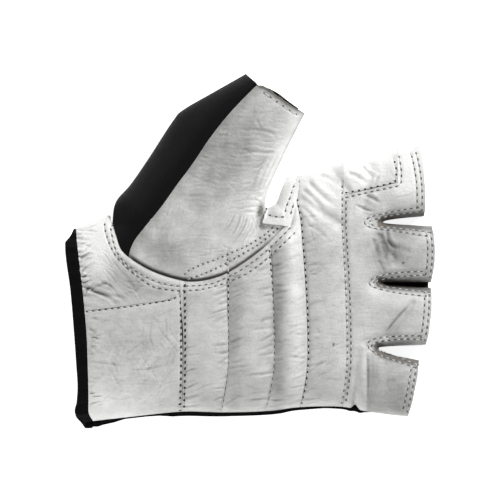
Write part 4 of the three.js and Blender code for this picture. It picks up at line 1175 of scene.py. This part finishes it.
flat_x = flat_plan[..., 0] + (start[..., 0] - begun[..., 0]) * (1 - across)
flat_y = flat_plan[..., 1] + (start[..., 1] - begun[..., 1]) * (1 - across)
thumb_back_points = np.where((v < rim_share)[..., None], side, stacked(flat_x, flat_y, np.zeros_like(u)))
thumb_back_points = np.where((v < top_share)[..., None], upper, thumb_back_points)
back_x, back_y = thumb_back_points[..., 0], thumb_back_points[..., 1]
away = line_distance(back_x, back_y, seam_trace)[0]
# Painted sheen: the top is painted paler away from the seam with the white front
painted_sheen = 1.4 * smooth((away - 3) / 8) * (thumb_back_points[..., 2] > 1)
thumb_back = cloth_piece("thumb_back_stretch", [thumb_back_points], stretch_wall, black_stretch, [painted_sheen])
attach(thumb_back, "root")
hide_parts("thumb_back")

# Back of the hand
# The black stretch back of the glove. It lies flat on the surface, and its rim stands out a little
# beyond the white leather along the little-finger side.

# Along the hand: x, and how far the rim shows there
rim_shows = [(-78, 1.6), (-71, 2.3), (-67, 2.7), (-64, 2.1), (-59.8, 1.7), (-55, 0.7), (-46, 0.7), (-40, 1.0)]
rim_shows += [(-34, 1.9), (-20, 2.0), (-8, 1.7), (14, 1.7), (18, 1.4), (26, 1.2), (33, 0.9), (42, 1.1)]
rim_shows += [(44.6, 1.6), (46.3, 3.2), (48, 1.6), (50, 0.7), (53, 0.1), (62, -0.6)]
rim_shows = np.array(rim_shows)


def rim_show(x):
    """How far the black rim stands out beside the leather."""
    return np.interp(x, rim_shows[:, 0], rim_shows[:, 1])


def rim_point(x, turn):
    y = hand_low(x) - rim_show(x) + side_seam * (1 - np.cos(turn))
    return stacked(x, y, palm_height(x, hand_low(x)) * (1 - np.sin(turn)))


def back_high(x):
    turned = hand_high(x) - 5.0 - 0.8 * (1 - smooth((x + 76) / 12))
    thumb_line = plan_line(thumb_under_root)(clamp01((x + 60.5) / 77.5))[..., 1] - 0.6
    past = mix(thumb_line, turned, smooth((x - 17.5) / 2))
    return np.where(x < -60.5, np.minimum(turned, thumb_line), past)


back_flat = 0.6
u, v = on_grid(260, 50)
station = mix(-70.0, 55.6, u)


def back_start(y):
    return station + (wrist_panels(y) + 70.0 - 3.0 * smooth((-72 - y) / 4)) * (1 - smooth(u * 5))


turn = np.pi / 2 * (1 - clamp01((v - back_flat) / (1 - back_flat)))
rim = rim_point(back_start(rim_point(station, turn)[..., 1]), turn)
high = back_high(back_start(back_high(station)))
y = mix(high, rim_point(station, np.full_like(u, np.pi / 2))[..., 1], clamp01(v / back_flat))
back_hand = np.where((v > back_flat)[..., None], rim, stacked(back_start(y), y, np.zeros_like(u)))
u, v = on_grid(20, 40)
x = mix(55.6, fingers[0][0], u)
turn = np.pi / 2 * (1 - clamp01((v - back_flat) / (1 - back_flat)))
little_rim = rim_point(x, turn)
flat_y = rim_point(x, np.full_like(u, np.pi / 2))[..., 1] + 8 * (1 - clamp01(v / back_flat))
little_rim = np.where((v > back_flat)[..., None], little_rim, stacked(x, flat_y, np.zeros_like(u)))
back_patches = [back_hand, little_rim]
for i in range(4):
    u, v = on_grid(16, 14)
    end = mix(fingers[i][1], fingers[i][0], v)
    x = mix(54.0, end, u**0.8)
    low = hand_low(x) + side_seam if i == 0 else finger_low(i, x) + 0.3
    high = hand_high(x) - 5.0 if i == 3 else finger_high(i, x) - 0.3
    back_patches.append(stacked(x, mix(high, low, v), 0.01 * np.ones_like(u)))
back = cloth_piece("back_of_hand", back_patches, stretch_wall, black_stretch)
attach(back, "root")
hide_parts("back_panel")

# Side walls of the fingers
# Narrow strips of the same black stretch between the fingers: each goes up one finger, round the
# root of the gap and out along the next one.

for gap, cad_name in zip(gaps, ("ring_little", "middle_ring", "index_middle")):
    u, v = on_grid(90, 12)
    q = 2 * u - 1
    side = np.where(q < 0, -1.0, 1.0)
    end_x = np.where(side > 0, gap[4], gap[2]) - 0.6
    x = mix(gap[0] - 0.3, end_x, q * q)
    edge_y = np.where(side > 0, gap_edge(gap, 1, x + 0.3), gap_edge(gap, -1, x + 0.3))
    y = edge_y + side * 0.3 * (1 - np.exp(-q * q * 30))
    top_z = mix(8.4, finger_seam - 0.1, smooth(np.abs(q) / 0.4))
    z = mix(stretch_wall + 0.2, top_z, v)
    walls = [stacked(x, y, z)]
    if cad_name == "middle_ring":
        # These two fingers lie so close that the fabric between them is folded shut
        u, v = on_grid(40, 8)
        x = mix(gap[0], gap[2] - 1.0, u)
        y = mix(gap_edge(gap, -1, x) - 0.4, gap_edge(gap, 1, x) + 0.4, v)
        walls.append(stacked(x, y, 4.5 - 2.5 * u + 0.3 * crumple(x, y, 2.0, 9.0)))
    wall = cloth_piece(f"side_wall_{cad_name}", walls, stretch_wall, black_stretch)
    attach(wall, "root")
    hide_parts(f"fourchette_{cad_name}")

# Wrist binding
# Black woven tape folded over the raw edge round the wrist opening and sewn down. It is ribbed
# across, stiff, and stands a little proud of the leather.


def tape_finish(name):
    """Grosgrain tape: a rib of weft every half millimetre, crossed by fine warp."""
    shader = Shader(name, Specular_IOR_Level=0.06)
    cloth = shader.node("Attribute", {"attribute_name": "cloth"}, {}, "Vector")
    weft_waves = {"Vector": cloth, "Scale": 0.5, "Distortion": 0.3}
    warp_waves = {"Vector": cloth, "Scale": 0.9, "Distortion": 0.4}
    ribs = shader.node("TexWave", {"bands_direction": "X"}, weft_waves)
    warp = shader.node("TexWave", {"bands_direction": "Y"}, warp_waves)
    fuzz = shader.noise(shader.place(), 1.4, 4.0, 0.6)
    weave = ribs * 0.75 + warp * 0.25
    dark, grey = (0.0016, 0.0016, 0.0018), (0.006, 0.006, 0.0064)
    shader.feed("Base Color", shader.between((weave * fuzz * 1.3).math("MINIMUM", 1.0), dark, grey))
    shader.feed("Roughness", 0.65 + fuzz * 0.25)
    shader.bump(weave * 0.10 + fuzz * 0.06)
    return shader.material


black_tape = tape_finish("black_tape")


def tape_ring(turn, share):
    """A point on the line that the tape follows round the wrist."""
    middle = 0.5 + 0.5 * np.cos(turn)
    x = mix(wrist[2][1], wrist[2][2] - 0.15, share)
    for _ in range(4):
        y = mix(hand_low(x), hand_high(x), middle)
        x = mix(wrist_edge(y), wrist_panels(y) - 0.15, share)
    is_top = np.sin(turn) >= 0
    show = rim_show(x) * smooth(-np.sin(turn) * 20)
    low = hand_low(x) - np.where(is_top, 0.0, show)
    y = np.where(is_top, mix(hand_low(x), hand_high(x), middle), mix(low, hand_high(x), middle))
    from_edge = np.minimum(y - low, hand_high(x) - y)
    z = np.where(is_top, palm_height(x, y), side_seam * (1 - shoulder(from_edge / side_seam)))
    return stacked(x, y, z)


u, v = on_grid(300, 40)
turn, around = u * 2 * np.pi, -v * 2 * np.pi
share = 0.5 + 0.5 * np.sign(np.cos(around)) * np.abs(np.cos(around)) ** 0.5
across = 0.5 + 0.5 * np.sign(np.sin(around)) * np.abs(np.sin(around)) ** 0.5
point = tape_ring(turn, share)
tangent = tape_ring(turn + 0.01, share) - tape_ring(turn - 0.01, share)
outward = np.stack([tangent[..., 2], -tangent[..., 1]], axis=-1)
outward /= np.maximum(np.linalg.norm(outward, axis=-1, keepdims=True), 1e-9)
pucker = 0.28 * np.sin(point[..., 1] * 2 * np.pi / 6.1) + 0.14 * np.sin(point[..., 1] * 2 * np.pi / 2.9)
offset = mix(-1.6, (0.4 + pucker) * smooth(point[..., 2] / 3), across)
tape_y, tape_z = point[..., 1] + outward[..., 0] * offset, point[..., 2] + outward[..., 1] * offset
tape_points = stacked(point[..., 0], tape_y, tape_z)
tape_length, tape_width = 172.0, 16.0
bm = bmesh.new()
cloth = bm.verts.layers.float_vector.new("cloth")
rows, columns = tape_points.shape[:2]
made = bmesh.ops.create_grid(bm, x_segments=columns - 1, y_segments=rows - 1, size=0.5)["verts"]
for vert, place, share_round, share_over in zip(made, tape_points.reshape(-1, 3), u.ravel(), v.ravel()):
    vert.co = (place + to_frame) * mm
    vert[cloth] = (share_round * tape_length, share_over * tape_width, 0.0)
bmesh.ops.remove_doubles(bm, verts=bm.verts[:], dist=2e-6)
bmesh.ops.recalc_face_normals(bm, faces=bm.faces[:])
for face in bm.faces:
    face.smooth = True
tape = as_object(bm, "wrist_binding", black_tape)
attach(tape, "root")
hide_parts("wrist_tape")

# Table, light and camera
# A plain white table lit as in a small studio: a large soft lamp above and to the upper right, and
# an even pale surround that fills the shadows. The camera looks straight down.

bm = bmesh.new()
bmesh.ops.create_grid(bm, x_segments=1, y_segments=1, size=2.0)
paper = Shader("white_paper", Roughness=0.9, Specular_IOR_Level=0.0)
paper.principled.inputs["Emission Color"].default_value = (1, 1, 1, 1)
paper.principled.inputs["Emission Strength"].default_value = 0.85
clouds = paper.noise(paper.place(), 0.02)
paper.feed("Base Color", paper.between(clouds, (0.95, 0.95, 0.95), (0.93, 0.93, 0.93)))
floor = as_object(bm, "table_top", paper.material)
floor.location = (0.0, 0.0, -0.0001)

world = bpy.data.worlds.new("surround")
world.use_nodes = True
world.node_tree.nodes["Background"].inputs["Color"].default_value = (1.0, 1.0, 0.99, 1.0)
world.node_tree.nodes["Background"].inputs["Strength"].default_value = 0.26
bpy.context.scene.world = world
for lamp_name, lamp_place, lamp_size, lamp_power in (
    ("soft_lamp", Vector((1.15, 1.25, 1.05)), 0.7, 47.0),
    ("low_lamp", Vector((-0.9, -1.1, 0.7)), 0.9, 13.0),
):
    lamp_data = bpy.data.lights.new(lamp_name, "AREA")
    lamp_data.size = lamp_size
    lamp_data.energy = lamp_power
    lamp = bpy.data.objects.new(lamp_name, lamp_data)
    lamp.location = lamp_place
    lamp.rotation_euler = lamp_place.to_track_quat("Z", "Y").to_euler()
    bpy.context.scene.collection.objects.link(lamp)
camera_height, half_way_up, view_width, film = 3.0, 0.008, 0.220, 36.0
camera_data = bpy.data.cameras.new("camera")
camera = bpy.data.objects.new("camera", camera_data)
camera.location = (to_frame[0] * mm, to_frame[1] * mm, camera_height)
camera_data.sensor_width = film
camera_data.lens = film * (camera_height - half_way_up) / view_width
bpy.context.scene.collection.objects.link(camera)
bpy.context.scene.camera = camera
bpy.context.scene.view_settings.view_transform = "Standard"
